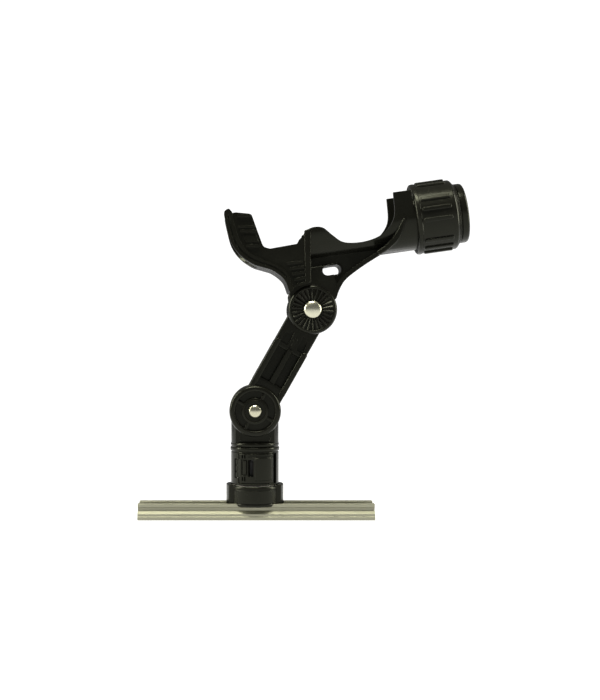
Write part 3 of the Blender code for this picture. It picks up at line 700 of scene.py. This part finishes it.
# %% Neck
def neck():
    half = 20.4
    side = fillet([(-half, -31.5), (half, -31.5)] + arc(0, 0, half, 0, 180, 33), 0.5)
    tongue = slab(side, -12.4, 12.4, 0.9, 4)
    barrel_shape = moved(rod(LOCK_R, -53, 30, steps=96), ALONG_Y)
    foot = [(0, -27.3), (19.4, -27.3), (20.3, -27.6), (20.8, -28.3), (20.9, -29.4), (20.6, -30.2)]
    foot = moved(turned(foot + [(20.0, -30.9), (0, -30.9)], 96, closed=False), ALONG_Y)
    panels = []
    for low, high in ((11.5, 14), (-14, -11.5)):
        outline = fillet([(-12.5, -26.8), (12.5, -26.8), (14.0, -20.5), (-14.0, -20.5)], 1.2)
        panels.append(slab(outline, low, high, 0.3, 2))
    return mould(
        "neck", tongue, ("INTERSECT", barrel_shape), add(foot), cut(together(*panels)),
        cut(rod(BOLT_HOLE_R, -20, 20)), cut(rod(PIN_HOLE_R, -25, -9, (0, -33.1))),
    )


piece("pivot_neck", neck(), AT_NECK, "lock", ["neck"], black_nylon)
AT_ROLL_PIN = AT_NECK @ Matrix.Translation((0, -33.3, 0))
piece("roll_pin", rod(1.25, -20.4, -9.4, steps=24, edge=0.3), AT_ROLL_PIN, "lock", ["neck_roll_pin"],
      spring_steel)

# %% [markdown]
# ## The arm
# The arm is a moulded I-beam. At its foot two wheel-like discs clasp the neck, each with a fat rim, a hub
# ring and four spokes with deep windows between. Cheeks and straps beside a solid crotch tie the discs to
# the beam, whose two flanges and middle rib run up to a plain, rounded tongue. One disc is built and
# mirrored. Parts that overlap are added one after another, because one Boolean takes its tool as one solid.

# %% Arm measures
DISC_IN = 13.9
ARM_HALF, FLANGE_DEPTH, TONGUE_DEPTH = 15.5, 20.0, 10.9
FLANGE_END = 64.5
SPOKES = 4


def arm_disc():
    floor = rod(21.0, DISC_IN, 17.6, steps=96)
    rim = [(17.0, 15), (17.0, 23.2), (17.4, 23.8), (18.0, 24.0), (19.4, 24.0), (20.7, 23.6), (21.6, 22.6)]
    rim += [(22.0, 21.2), (22.0, 14.6), (21.6, 14.1), (21.0, 13.9), (18, 13.9)]
    hub = [(8.9, 15), (8.9, 23.0), (9.4, 23.6), (10.6, 23.6), (11.3, 23.1), (11.5, 22.4), (11.5, 15)]
    seat = rod(9.2, 15, 21.0, steps=64)
    spokes = []
    for i in range(SPOKES):
        bar = block((10.8, 17.6), (-1.5, 1.5), (15, 22.8), 0.7)
        spokes.append(moved(bar, Matrix.Rotation(2 * pi * i / SPOKES, 4, "Z")))
    return mould(
        "disc", floor, add(turned(rim, 96)), add(turned(hub, 64)), add(seat), add(together(*spokes)),
    )


def mirrored_depth(bm):
    return moved(bm, Matrix.Scale(-1, 4, (0, 0, 1)))


def both_faces(radius, depth):
    """Round cutters outside the depth on the near and the far side."""
    return [rod(radius, depth, 30, steps=96), rod(radius, -30, -depth, steps=96)]


def flange(side):
    inner, outer = sorted((side * (ARM_HALF - 5), side * ARM_HALF))
    outline = [(inner, 22), (outer, 22), (outer, FLANGE_END - 2.0), (outer - 1.0, FLANGE_END)]
    outline += [(inner + 2.0, FLANGE_END), (inner, FLANGE_END - 2.5)]
    return slab(outline, -FLANGE_DEPTH, FLANGE_DEPTH, 1.2, 4)


def arm():
    straps, cheeks = [], []
    for low, high in ((DISC_IN, FLANGE_DEPTH), (-FLANGE_DEPTH, -DISC_IN)):
        for left, right in ((0.2 - ARM_HALF, 4.8 - ARM_HALF), (ARM_HALF - 4.8, ARM_HALF - 0.2)):
            straps.append(block((left, right), (2, 26), (low, high), 0.8))
        near, far = (low, 15.5) if low > 0 else (-15.5, high)
        cheeks.append(block((0.4 - ARM_HALF, ARM_HALF - 0.4), (2, 26.5), (near, far), 0.3, 2))
    crotch = block((0.3 - ARM_HALF, ARM_HALF - 0.3), (21.2, 28), (-15.4, 15.4), 0.6)
    rib = slab(fillet([(-2.2, 22.5), (3.4, 22.5), (2.9, 60.5), (-1.7, 60.5)], 0.8), -15, 15, 1.2, 4)
    web = block((-ARM_HALF + 1, ARM_HALF - 1), (24, 74), (-5, 5), 0.3)
    ridge = [(0.6, 60), (2.2, 62), (1.9, 66), (2.4, 67.2), (1.9, 68.4), (2.4, 69.6), (1.7, 71), (0.6, 72.5)]
    ridge = [(0.6 - (x - 0.6), y) for x, y in reversed(ridge[1:-1])] + ridge
    ridge = slab(fillet(ridge, 0.4), -11.9, 11.9, 0.7)
    outline = [(-ARM_HALF, 58), (ARM_HALF, 58)] + arc(0, ARM_LENGTH, 16.5, -20, 200, 41)
    tongue = slab(fillet(outline, 2.0), -TONGUE_DEPTH, TONGUE_DEPTH, 1.4, 4)
    reliefs = []
    for low, high in ((8.4, 14), (-14, -8.4)):
        for inner, outer in ((-3.4, -10.8), (4.6, 10.8)):
            slope = fillet([(inner, 63), (inner, 76.5), (outer, 71.5), (outer, 63)], 1.2)
            if inner > 0:
                slope.reverse()
            reliefs.append(slab(slope, low, high, 0.5, 2))
    hub_clear = [rod(8.9, 21.0, 30, steps=64), rod(8.9, -30, -16.5, steps=64)]
    body = mould(
        "beam", crotch, add(together(*cheeks)), add(together(*straps)), add(flange(-1)), add(flange(1)),
        add(rib), add(web), add(tongue), cut(together(*reliefs)), add(ridge),
        cut(together(*both_faces(17.6, 17.6))), add(arm_disc()), add(mirrored_depth(arm_disc())),
    )
    return mould(
        "arm", body, cut(together(*hub_clear)), cut(rod(BOLT_HOLE_R, -30, 30)),
        cut(rod(BOLT_HOLE_R, -30, 30, (0, ARM_LENGTH))),
    )


piece("arm_moulding", arm(), AT_ARM, "arm", ["extension_arm"], black_nylon)

# %% [markdown]
# ## Bolts, nuts and washers
# Both hinges clamp on a stainless bolt with a low domed head. A dome is a few points of an arc spun about
# the bolt. The far ends carry a hexagon nut with chamfered corners, which is a hexagon kept only inside a
# spun shape, and the hand knob.


# %% Bolts
def domed_bolt(head_r, seat, crown, tip):
    """A domed head on a shank, its axis on z and its head at +z."""
    rise = crown - seat - 0.9
    dome = [(head_r * cos(radians(a)), seat + 0.9 + rise * sin(radians(a))) for a in range(90, -1, -9)]
    shank = [(head_r, seat + 0.3), (head_r - 0.3, seat), (4.0, seat), (4.0, tip + 0.6), (3.4, tip), (0, tip)]
    return turned([(0, crown)] + dome[1:] + shank, 64, closed=False)


def hex_nut(low, high, corner_r=7.4):
    """A nut with chamfered corners, its axis on z."""
    hexagon = slab(arc(0, 0, corner_r, 0, 300, 6), low, high, 0)
    rise = 0.8
    flat_r, outer_r = corner_r - 1.2, corner_r + 0.1
    chamfer = [(0, high), (flat_r, high), (outer_r, high - rise)]
    chamfer += [(outer_r, low + rise), (flat_r, low), (0, low)]
    inside = turned(chamfer, 64, closed=False)
    return mould("nut", hexagon, ("INTERSECT", inside), cut(rod(BOLT_HOLE_R, low - 2, high + 2)))


def washer(inner, outer, low, high):
    soft = 0.25
    profile = [(inner, low), (outer - soft, low), (outer, low + soft), (outer, high - soft)]
    return turned(profile + [(outer - soft, high), (inner, high)], 64)


lower_bolt = domed_bolt(5.5, 21.3, 24.6, -26)
upper_bolt = domed_bolt(7.5, 21.3, 25.2, -32)
piece("lower_bolt", lower_bolt, AT_ARM, "arm", ["lower_pivot_bolt"], lower_bolt_steel)
piece("upper_bolt", upper_bolt, AT_CRADLE, "cradle", ["upper_carriage_bolt"], upper_bolt_steel)
piece("lower_nut", hex_nut(-24.8, -18.6), AT_ARM, "arm", ["lower_pivot_nut"], nut_steel)
piece("lower_nut_ring", washer(4.4, 8.3, -18.3, -16.8), AT_ARM, "arm", ["lower_nut_washer"], nut_steel)
piece("knob_ring", washer(4.6, 9.0, -22.5, -21.3), AT_CRADLE, "cradle", ["knob_washer"], nut_steel)


# %% [markdown]
# ## The hand knob
# A five-lobed knob tightens the upper hinge from the far side. Its outline is a circle with a wave on it,
# its edges are well rounded for the hand, and its outer face is dished round a small button.


# %% Knob
KNOB_LOBES = 5
KNOB_POINTS = 90


def knob():
    lobes = []
    for i in range(KNOB_POINTS):
        a = 2 * pi * (i + 0.3) / KNOB_POINTS
        radius = 14.8 + 2.2 * cos(KNOB_LOBES * a)
        lobes.append((radius * cos(a), radius * sin(a)))
    grip = slab(lobes, -38, -26, 2.2, 5)
    dish = turned([(6.0, -36.9), (7.2, -36.6), (9.6, -36.6), (11.0, -37.2), (11.8, -39), (6.0, -39)], 72)
    hub = [(0, -22.8), (9.8, -22.8), (10.5, -23.4), (10.5, -27), (11.4, -28), (0, -28)]
    return mould("knob", grip, add(turned(hub, 72, closed=False)), cut(dish), cut(rod(7.3, -33.3, -20)))


piece("hand_knob", knob(), AT_CRADLE, "knob", ["adjust_knob"], coarse_nylon)

# %% [markdown]
# ## The cradle
# The cradle is the holder's largest moulding. From the near side it is a fork with a hooked left prong, a
# raised rim round its outside, a saddle for the reel, a web down to the hinge ears, and a split tube for
# the rod. Everything is drawn about the upper hinge with the rod level. The walls are cut open along the
# rod with a round-bottomed trough.

# %% Cradle outlines
BORE_R, TUBE_R, TUBE_END = 22.3, 26.2, 133.4
YOKE_HALF, RIM_HALF, BAND_HALF, WEB_HALF = 25.0, 27.3, 26.8, 14.0
EAR_IN = 12.3
MOUTH_HALF = 18.0
RIM_OUTER = [
    (-63.6, 90.0), (-63.1, 82, 1), (-61.0, 66, 1), (-55.0, 54.3, 1), (-45.6, 45.3, 1), (-37.0, 41, 1),
    (-28.7, 36.8, 1), (-20.6, 28, 1), (-17.8, 17),
]
RIM_INNER = [
    (-13.7, 18.6), (-16.9, 32.7, 1), (-22.7, 39.7, 1), (-35.3, 47.3, 1), (-47.0, 55.8, 1), (-53.1, 66.9, 1),
    (-56.0, 80, 1), (-56.5, 91.3),
]
HOOK_TIP = [(-59.0, 94.3, 1), (-62.6, 92.8, 1)]
FORK_EDGE = [
    (-60.2, 90.5), (-59.8, 81, 1), (-57.6, 66.8, 1), (-52.2, 56.6, 1), (-43.8, 48.5, 1), (-35.6, 44.2, 1),
    (-26.8, 39.4, 1), (-18.4, 30.2, 1), (-15.6, 19.5),
]
FORK_TOP = [
    (-53.2, 90.6), (-42.0, 87.9), (-40.2, 86.2), (-35.5, 63.7), (-33.8, 58.6, 1), (-28.9, 56.1), (-5.7, 57.0),
    (-3.5, 60.1), (0.3, 63.0), (2.4, 66.4), (4.6, 66.6),
]
SADDLE_TOP = [
    (3.5, 67.4), (10.6, 69.0, 1), (18.1, 67.3, 1), (24.8, 60.4, 1), (32.4, 53.8, 1), (42.0, 51.4, 1),
    (54.4, 51.5, 1), (66.0, 54.6, 1), (74.6, 61.1, 1), (79.8, 70.7, 1), (81.1, 88.8),
]
WEB_LOWER = [
    (72.0, 41.8), (54.1, 33.8, 1), (38.8, 26.0, 1), (30.0, 20.0, 1), (24.4, 12.5, 1), (20.7, 6.0, 1),
]
WEB_EDGE = [
    (70.0, 44.5), (53.2, 35.6, 1), (37.6, 27.8, 1), (28.0, 21.4, 1), (22.4, 13.6, 1), (19.0, 7.0, 1),
]


def bar_between(start, end, width, low, high, edge=0.4):
    """A rounded bar from one point to another, standing on a face."""
    a, b = Vector(start), Vector(end)
    across = (b - a).normalized().orthogonal() * width / 2
    outline = [tuple(a + across), tuple(b + across), tuple(b - across), tuple(a - across)]
    return slab(fillet(outline, width * 0.4, 3), low, high, edge, 2)


def ribbon(line, half):
    """The outline of a strip that follows a line of points."""
    points = [Vector(p) for p in line]
    left, right = [], []
    for before, here, after in zip([points[0]] + points, points, points[1:] + [points[-1]]):
        across = (after - before).normalized().orthogonal() * half
        left.append(tuple(here + across))
        right.append(tuple(here - across))
    return left + right[::-1]


def slot_edge(radius):
    """The outline of the slot through the web, or of the lip round it."""
    return arc(25.1, 31.2, radius, -90, 90, 15) + arc(17.2, 31.2, radius, 90, 270, 15)


def both_sides(make):
    """A detail on the near face and its mirror image on the far face."""
    return [make(), mirrored_depth(make())]


# %% [markdown]
# The fork is a slab with a wider rim over its outer edge and a hook at its tip. A narrow groove, cut by a
# `ribbon` that follows the edge, parts the rim from the wall. Gripping ribs and a pad are small bars that
# stand proud of each face.


# %% Fork with its rim, ribs and pads
def fork():
    outline = fillet(flow(FORK_EDGE + [(-11.6, 21.3), (-2.0, 23.8)] + FORK_TOP[::-1], 4), 1.0, 3)
    walls = slab(outline, -YOKE_HALF, YOKE_HALF, 0.8, 3)
    rim = slab(fillet(flow(RIM_OUTER + RIM_INNER + HOOK_TIP, 5), 0.8, 3), -RIM_HALF, RIM_HALF, 1.1, 4)
    strip = ribbon(flow(FORK_EDGE, 5)[1:36], 0.75)
    rim_grooves = both_sides(lambda: slab(strip, RIM_HALF - 1.6, RIM_HALF + 2, 0))
    band = slab([(1.5, 22.5), (7.5, 68.0), (2.0, 67.3), (-3.6, 23.2)], -BAND_HALF, BAND_HALF, 0.8, 3)
    ribs = []
    prong = [((-52.8, 87.6), (-40.5, 85.7)), ((-52.9, 78.1), (-39.6, 76.2)), ((-52.4, 74.5), (-38.9, 72.6))]
    prong += [((-48.8, 61.2), (-37.2, 59.6))]
    for start, end in prong:
        ribs += both_sides(lambda a=start, b=end: bar_between(a, b, 2.6, YOKE_HALF - 1, YOKE_HALF + 2.0, 1.1))
    for i in range(5):
        share = i / 4
        start = (-16.6 + 5.6 * share, 41.4 - 19.0 * share)
        end = (-2.9 + 3.2 * share, 41.1 - 17.6 * share)
        ribs += both_sides(lambda a=start, b=end: bar_between(a, b, 2.3, YOKE_HALF - 1, YOKE_HALF + 1.8, 1.0))
    pad = fillet([(-51.6, 71.0), (-38.8, 69.2), (-37.4, 62.6), (-48.6, 64.2)], 1.2)
    ribs += both_sides(lambda: slab(pad, YOKE_HALF - 1, YOKE_HALF + 0.6, 0.4, 2))
    return mould("fork", walls, add(rim), cut(together(*rim_grooves)), add(band), add(together(*ribs)))


# %% [markdown]
# The tube is a round bar with square walls beside it, and everything above the saddle line is cut away. The
# web below is a thin sheet between a foot flange and a curved rib, with a lip round the slot for a lanyard.


# %% Tube, saddle and web
def tube():
    round_tube = moved(rod(TUBE_R, 3.5, TUBE_END, steps=96, edge=0.4), ROD_IN_CRADLE)
    walls = block((50, 96.6), (ROD_AXIS, 88.8), (-25.9, 25.9), 0.4)
    above = slab(fillet(flow(SADDLE_TOP + [(81.1, 110), (-5, 110), (-5, 67.4)], 6), 0.6), -40, 40, 0)
    return mould("tube", round_tube, add(walls), cut(above))


def web():
    sheet = flow([(-4, 24), (-4, 45), (68, 47)] + WEB_EDGE + [(17, -4), (-14, -4), (-14, 17)], 5)
    flange_line = WEB_LOWER + [(17.5, 9.5), (26.4, 22.6), (36.6, 29.4, 1), (52.4, 37.2, 1), (68.0, 44.2)]
    foot = slab(flow(flange_line, 5), -19.5, 19.5, 1.2, 4)
    outer = [(62.0, 37.6), (72.0, 42.4, 1), (81.5, 50.0, 1), (89.4, 65.5)]
    inner = [(86.4, 66.0), (77.4, 53.0, 1), (68.5, 45.6, 1), (60.0, 41.2)]
    rib = slab(flow(outer + inner, 5), -RIM_HALF, RIM_HALF, 1.2, 4)
    lip = slab(slot_edge(5.6), -15.2, 15.2, 0.7, 3)
    return mould("web", slab(sheet, -WEB_HALF, WEB_HALF, 0.5, 2), add(foot), add(rib), add(lip))


# %% [markdown]
# Each hinge ear is a fat washer with a rounded rim. Its outer face carries a ring of shallow radial teeth
# round the bolt, which is one tapered bar repeated. The teeth are left sharp, as moulded teeth that bite are.


# %% Ears
TEETH = 26


def wedge(foot, crest):
    """A tapered ridge from its foot and crest half widths, mirrored about y = 0."""
    bm = bmesh.new()
    for x, y, z in foot + crest:
        bm.verts.new((x, y, z))
        bm.verts.new((x, -y, z))
    bmesh.ops.convex_hull(bm, input=bm.verts)
    bmesh.ops.recalc_face_normals(bm, faces=bm.faces)
    return bm


def ear():
    ring = [(0, EAR_IN), (20.4, EAR_IN), (20.9, 12.8), (21.0, 13.6), (21.0, 18.2), (20.6, 19.7), (19.6, 20.7)]
    ring += [(18.6, 21.0), (18.0, 20.8), (17.6, 20.3), (17.5, 19.3), (8.2, 19.3), (8.0, 20.9), (0, 20.9)]
    stem_line = [(-18.2, 0), (-18.2, 14), (-16.3, 19), (-17.6, 25), (-14, 36), (20, 36), (24.5, 17.5)]
    stem = slab(fillet(stem_line + [(19.3, 8.5), (19.3, 0)], 2.0), EAR_IN, 19.0, 0.9, 3)
    clear = rod(17.5, 19.3, 25, steps=96)
    teeth = []
    for i in range(TEETH):
        tooth = wedge([(7.85, 0.9, 19.0), (17.85, 2.05, 19.0)], [(7.85, 0.08, 20.1), (17.85, 0.18, 20.5)])
        teeth.append(moved(tooth, Matrix.Rotation(2 * pi * i / TEETH, 4, "Z")))
    return mould(
        "ear", turned(ring, 96, closed=False), add(stem), cut(clear), add(together(*teeth)),
        add(rod(8.05, 18.5, 20.8)),
    )


# %% [markdown]
# The parts are joined first, and the spaces come out last, so that no part can fill a space again: the
# trough under the rod, the keyhole bore of the tube, the lanyard slot, the gap for the arm's tongue, the
# bolt hole, and two grooves round the tube.


# %% The whole cradle
def cradle():
    trough = arc(0, 0, BORE_R, 180, 360, 49) + [(BORE_R, 60), (-BORE_R, 60)]
    edge = degrees(asin(MOUTH_HALF / BORE_R))
    keyhole = arc(0, 0, BORE_R, 90 + edge, 450 - edge, 65) + [(MOUTH_HALF, 60), (-MOUTH_HALF, 60)]
    gaps = [
        rod(18.2, -EAR_IN, EAR_IN, steps=72),
        block((0, 60), (-50, 8), (-EAR_IN, EAR_IN), 0),
        block((-60, 1), (-50, 16), (-EAR_IN, EAR_IN), 0),
    ]
    grooves = []
    for floor, low, high in ((24.9, 100.0, 102.0), (24.8, 124.3, 128.7)):
        groove = turned([(floor, high), (30, high), (30, low), (floor, low)], 96)
        grooves.append(moved(groove, ROD_IN_CRADLE))
    body = mould("body", fork(), add(tube()), add(web()), add(ear()), add(mirrored_depth(ear())))
    return mould(
        "cradle", body, cut(moved(slab(trough, -90, 97, 0), ROD_IN_CRADLE)),
        cut(moved(slab(keyhole, 96, 170, 0), ROD_IN_CRADLE)), cut(slab(slot_edge(4.15), -40, 40, 0)),
        *[cut(gap) for gap in gaps], cut(rod(BOLT_HOLE_R, -40, 40)), cut(together(*grooves)),
    )


piece("cradle_moulding", cradle(), AT_CRADLE, "cradle", ["cradle_body"], black_nylon)

# %% [markdown]
# ## The collar
# The collar turns round the split tube and closes it over the rod. Finger ribs run along it in groups of
# three with a bare space between groups, and a chamfer leads to a narrow seam and a plain end ring. Both
# are open on the far side, so that a quarter turn brings the opening up.


# %% Collar and end ring
UPRIGHT_RIB = Matrix(((0, 0, 1, 0), (0, 1, 0, 0), (-1, 0, 0, 231), (0, 0, 0, 1)))
RIB_PLACES = 20
RIB_STEP = 360 / RIB_PLACES
MIDDLE_RIB = 98


def opening():
    return block((0, 50), (-MOUTH_HALF, MOUTH_HALF), (90, 150), 0)


def collar():
    wall = [(BORE_R, 136.0), (25.3, 136.0), (25.8, 135.7), (25.9, 134.6), (27.4, 133.9), (29.3, 132.4)]
    wall += [(29.8, 131.6), (29.9, 130.8), (29.9, 102.0), (30.5, 101.4), (30.5, 99.6), (30.1, 98.5)]
    wall += [(29.3, 97.8), (28.4, 97.6), (26.6, 97.6), (26.6, 99.9), (27.7, 99.9)]
    wall += [(27.7, 102.1), (26.6, 102.1), (26.6, 133.9), (BORE_R, 133.9)]
    ribs = []
    for i in range(RIB_PLACES):
        if i % 4 == 3:
            continue
        rib = slab(fillet([(103, -1.9), (128, -1.9), (128, 1.9), (103, 1.9)], 1.8, 4), 29.0, 31.4, 1.0, 4)
        stand = Matrix.Rotation(radians(MIDDLE_RIB - RIB_STEP * (i - 1)), 4, "Z")
        ribs.append(moved(rib, stand @ UPRIGHT_RIB))
    return mould("collar", turned(wall, 120), add(together(*ribs)), cut(opening()))


def end_ring():
    wall = [(BORE_R, 142.3), (22.8, 142.8), (23.9, 142.7), (24.9, 142.1), (25.4, 141.2), (25.6, 140.0)]
    wall += [(25.6, 136.9), (25.1, 136.3), (BORE_R, 136.3)]
    return mould("end_ring", turned(wall, 120), cut(opening()))


piece("collar_grip", collar(), AT_ROD, "collar", ["locking_collar"], coarse_nylon)
piece("collar_nose", end_ring(), AT_ROD, "collar", ["collar_end_ring"], black_nylon)

# %% [markdown]
# ## What the frame already has right
# Washers, screws, the post and the keepers inside the collar are simple turned pieces, mostly out of sight.
# Their solids stay and take a proper finish in place of the plain one.

# %% Finishes on the carried-over pieces
KEPT = {
    "track_tee_bolt": nut_steel, "tee_bolt_washer": nut_steel, "tee_bolt_nut": nut_steel,
    "lock_post": post_nylon, "swivel_bushing": cream_acetal, "post_snap_ring": spring_steel,
    "lever_spring": spring_steel, "lower_washer_near": friction_rubber, "lower_washer_far": friction_rubber,
    "upper_washer_near": friction_rubber, "upper_washer_far": friction_rubber, "knob_insert": insert_brass,
    "collar_snap_wire": spring_steel, "collar_friction_strip": friction_rubber,
    **{f"post_screw_{i}": nut_steel for i in range(1, 5)},
}
for name, material in KEPT.items():
    mesh = frame["nodes"][name].data
    mesh.materials.clear()
    mesh.materials.append(material)
shown = {o.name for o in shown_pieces()}
print(len(KEPT), "solids kept;", len(shown), "pieces shown")
print("without a finish:", shown & set(frame["nodes"]) - set(KEPT))

# %% [markdown]
# ## Floor, light and camera
# A product of black nylon shows its shape only by what it mirrors, so it stands on a pale floor that gives
# off its own even light, under three soft panels, one above and one each side, in a dim surround. The
# backdrop is left out of the reflections, or every edge that turns away would mirror it.


# %% Floor
FLOOR_REACH = 60.0


def sweep(line):
    """A wide sheet along a line of (y, z) points."""
    bm = bmesh.new()
    verts = [bm.verts.new((-FLOOR_REACH, y, z)) for y, z in line]
    edges = [bm.edges.new(pair) for pair in zip(verts, verts[1:])]
    grown = bmesh.ops.extrude_edge_only(bm, edges=edges)["geom"]
    far_edge = [v for v in grown if isinstance(v, bmesh.types.BMVert)]
    bmesh.ops.translate(bm, verts=far_edge, vec=(2 * FLOOR_REACH, 0, 0))
    bmesh.ops.recalc_face_normals(bm, faces=bm.faces)
    return bm


floor_paint = Finish("pale paper", roughness=0.9, emission_color=(1, 1, 1, 1), emission_strength=0.98)
floor_fibres = floor_paint.noise(floor_paint.place(), 300, 3.0)
floor_paint.set("Base Color", floor_paint.mix(floor_fibres, (0.15, 0.15, 0.15, 1), (0.17, 0.17, 0.17, 1)))
curve = [(1.2 + 0.8 * sin(a), 0.8 - 0.8 * cos(a)) for a in (0.3, 0.6, 0.9, 1.2, 1.5)]
SHEETS = {
    "floor": [(-FLOOR_REACH, 0.0), (1.2, 0.0)],
    "backdrop": [(1.2, 0.0)] + curve + [(2.0, 9.0)],
}
for name, line in SHEETS.items():
    sheet = lone(name, sweep(line))
    sheet.data.shade_smooth()
    sheet.data.materials.append(floor_paint.material)
    sheet.visible_glossy = name == "floor"


# %% [markdown]
# Each lamp is an area light aimed at the holder's middle. A wide panel makes a long, soft streak on nylon,
# so the two side panels are tall and narrow and the top one is low and broad.


# %% Lamps
def soft_lamp(name, at, towards, size, power):
    lamp = bpy.data.lights.new(name, "AREA")
    lamp.shape = "RECTANGLE"
    lamp.size, lamp.size_y = size
    lamp.energy = power
    lamp.color = (1.0, 0.99, 0.84)
    obj = bpy.data.objects.new(name, lamp)
    obj.location = at
    obj.rotation_euler = (Vector(towards) - Vector(at)).to_track_quat("-Z", "Y").to_euler()
    bpy.context.scene.collection.objects.link(obj)
    return obj


MIDDLE = (0.02, 0, 0.15)
soft_lamp("top panel", (-0.1, -0.3, 1.1), MIDDLE, (0.6, 0.3), 13)
soft_lamp("left panel", (-0.9, -0.1, 0.55), MIDDLE, (0.3, 0.9), 14)
soft_lamp("right panel", (0.9, 0.0, 0.5), MIDDLE, (0.25, 0.9), 11)
world = bpy.data.worlds.new("studio")
world.use_nodes = True
world.node_tree.nodes["Background"].inputs["Color"].default_value = (1, 1, 1, 1)
world.node_tree.nodes["Background"].inputs["Strength"].default_value = 0.16
bpy.context.scene.world = world
bpy.context.scene.view_settings.view_transform = "Standard"

# %% [markdown]
# The camera is level with the holder's middle and looks along +y. It is moved aside with a lens shift
# instead of a turn, so that uprights stay upright.

# %% Camera
camera = bpy.data.objects.new("camera", bpy.data.cameras.new("camera"))
bpy.context.scene.collection.objects.link(camera)
camera.location = (-0.01389, -1.1, 0.1474)
camera.rotation_euler = (radians(90), 0, 0)
camera.data.lens = 65.2
camera.data.sensor_width = 36
camera.data.shift_x = 0.0857
camera.data.shift_y = -0.003
bpy.context.scene.camera = camera
print("camera at", tuple(round(v, 3) for v in camera.location), "with a", camera.data.lens, "mm lens")
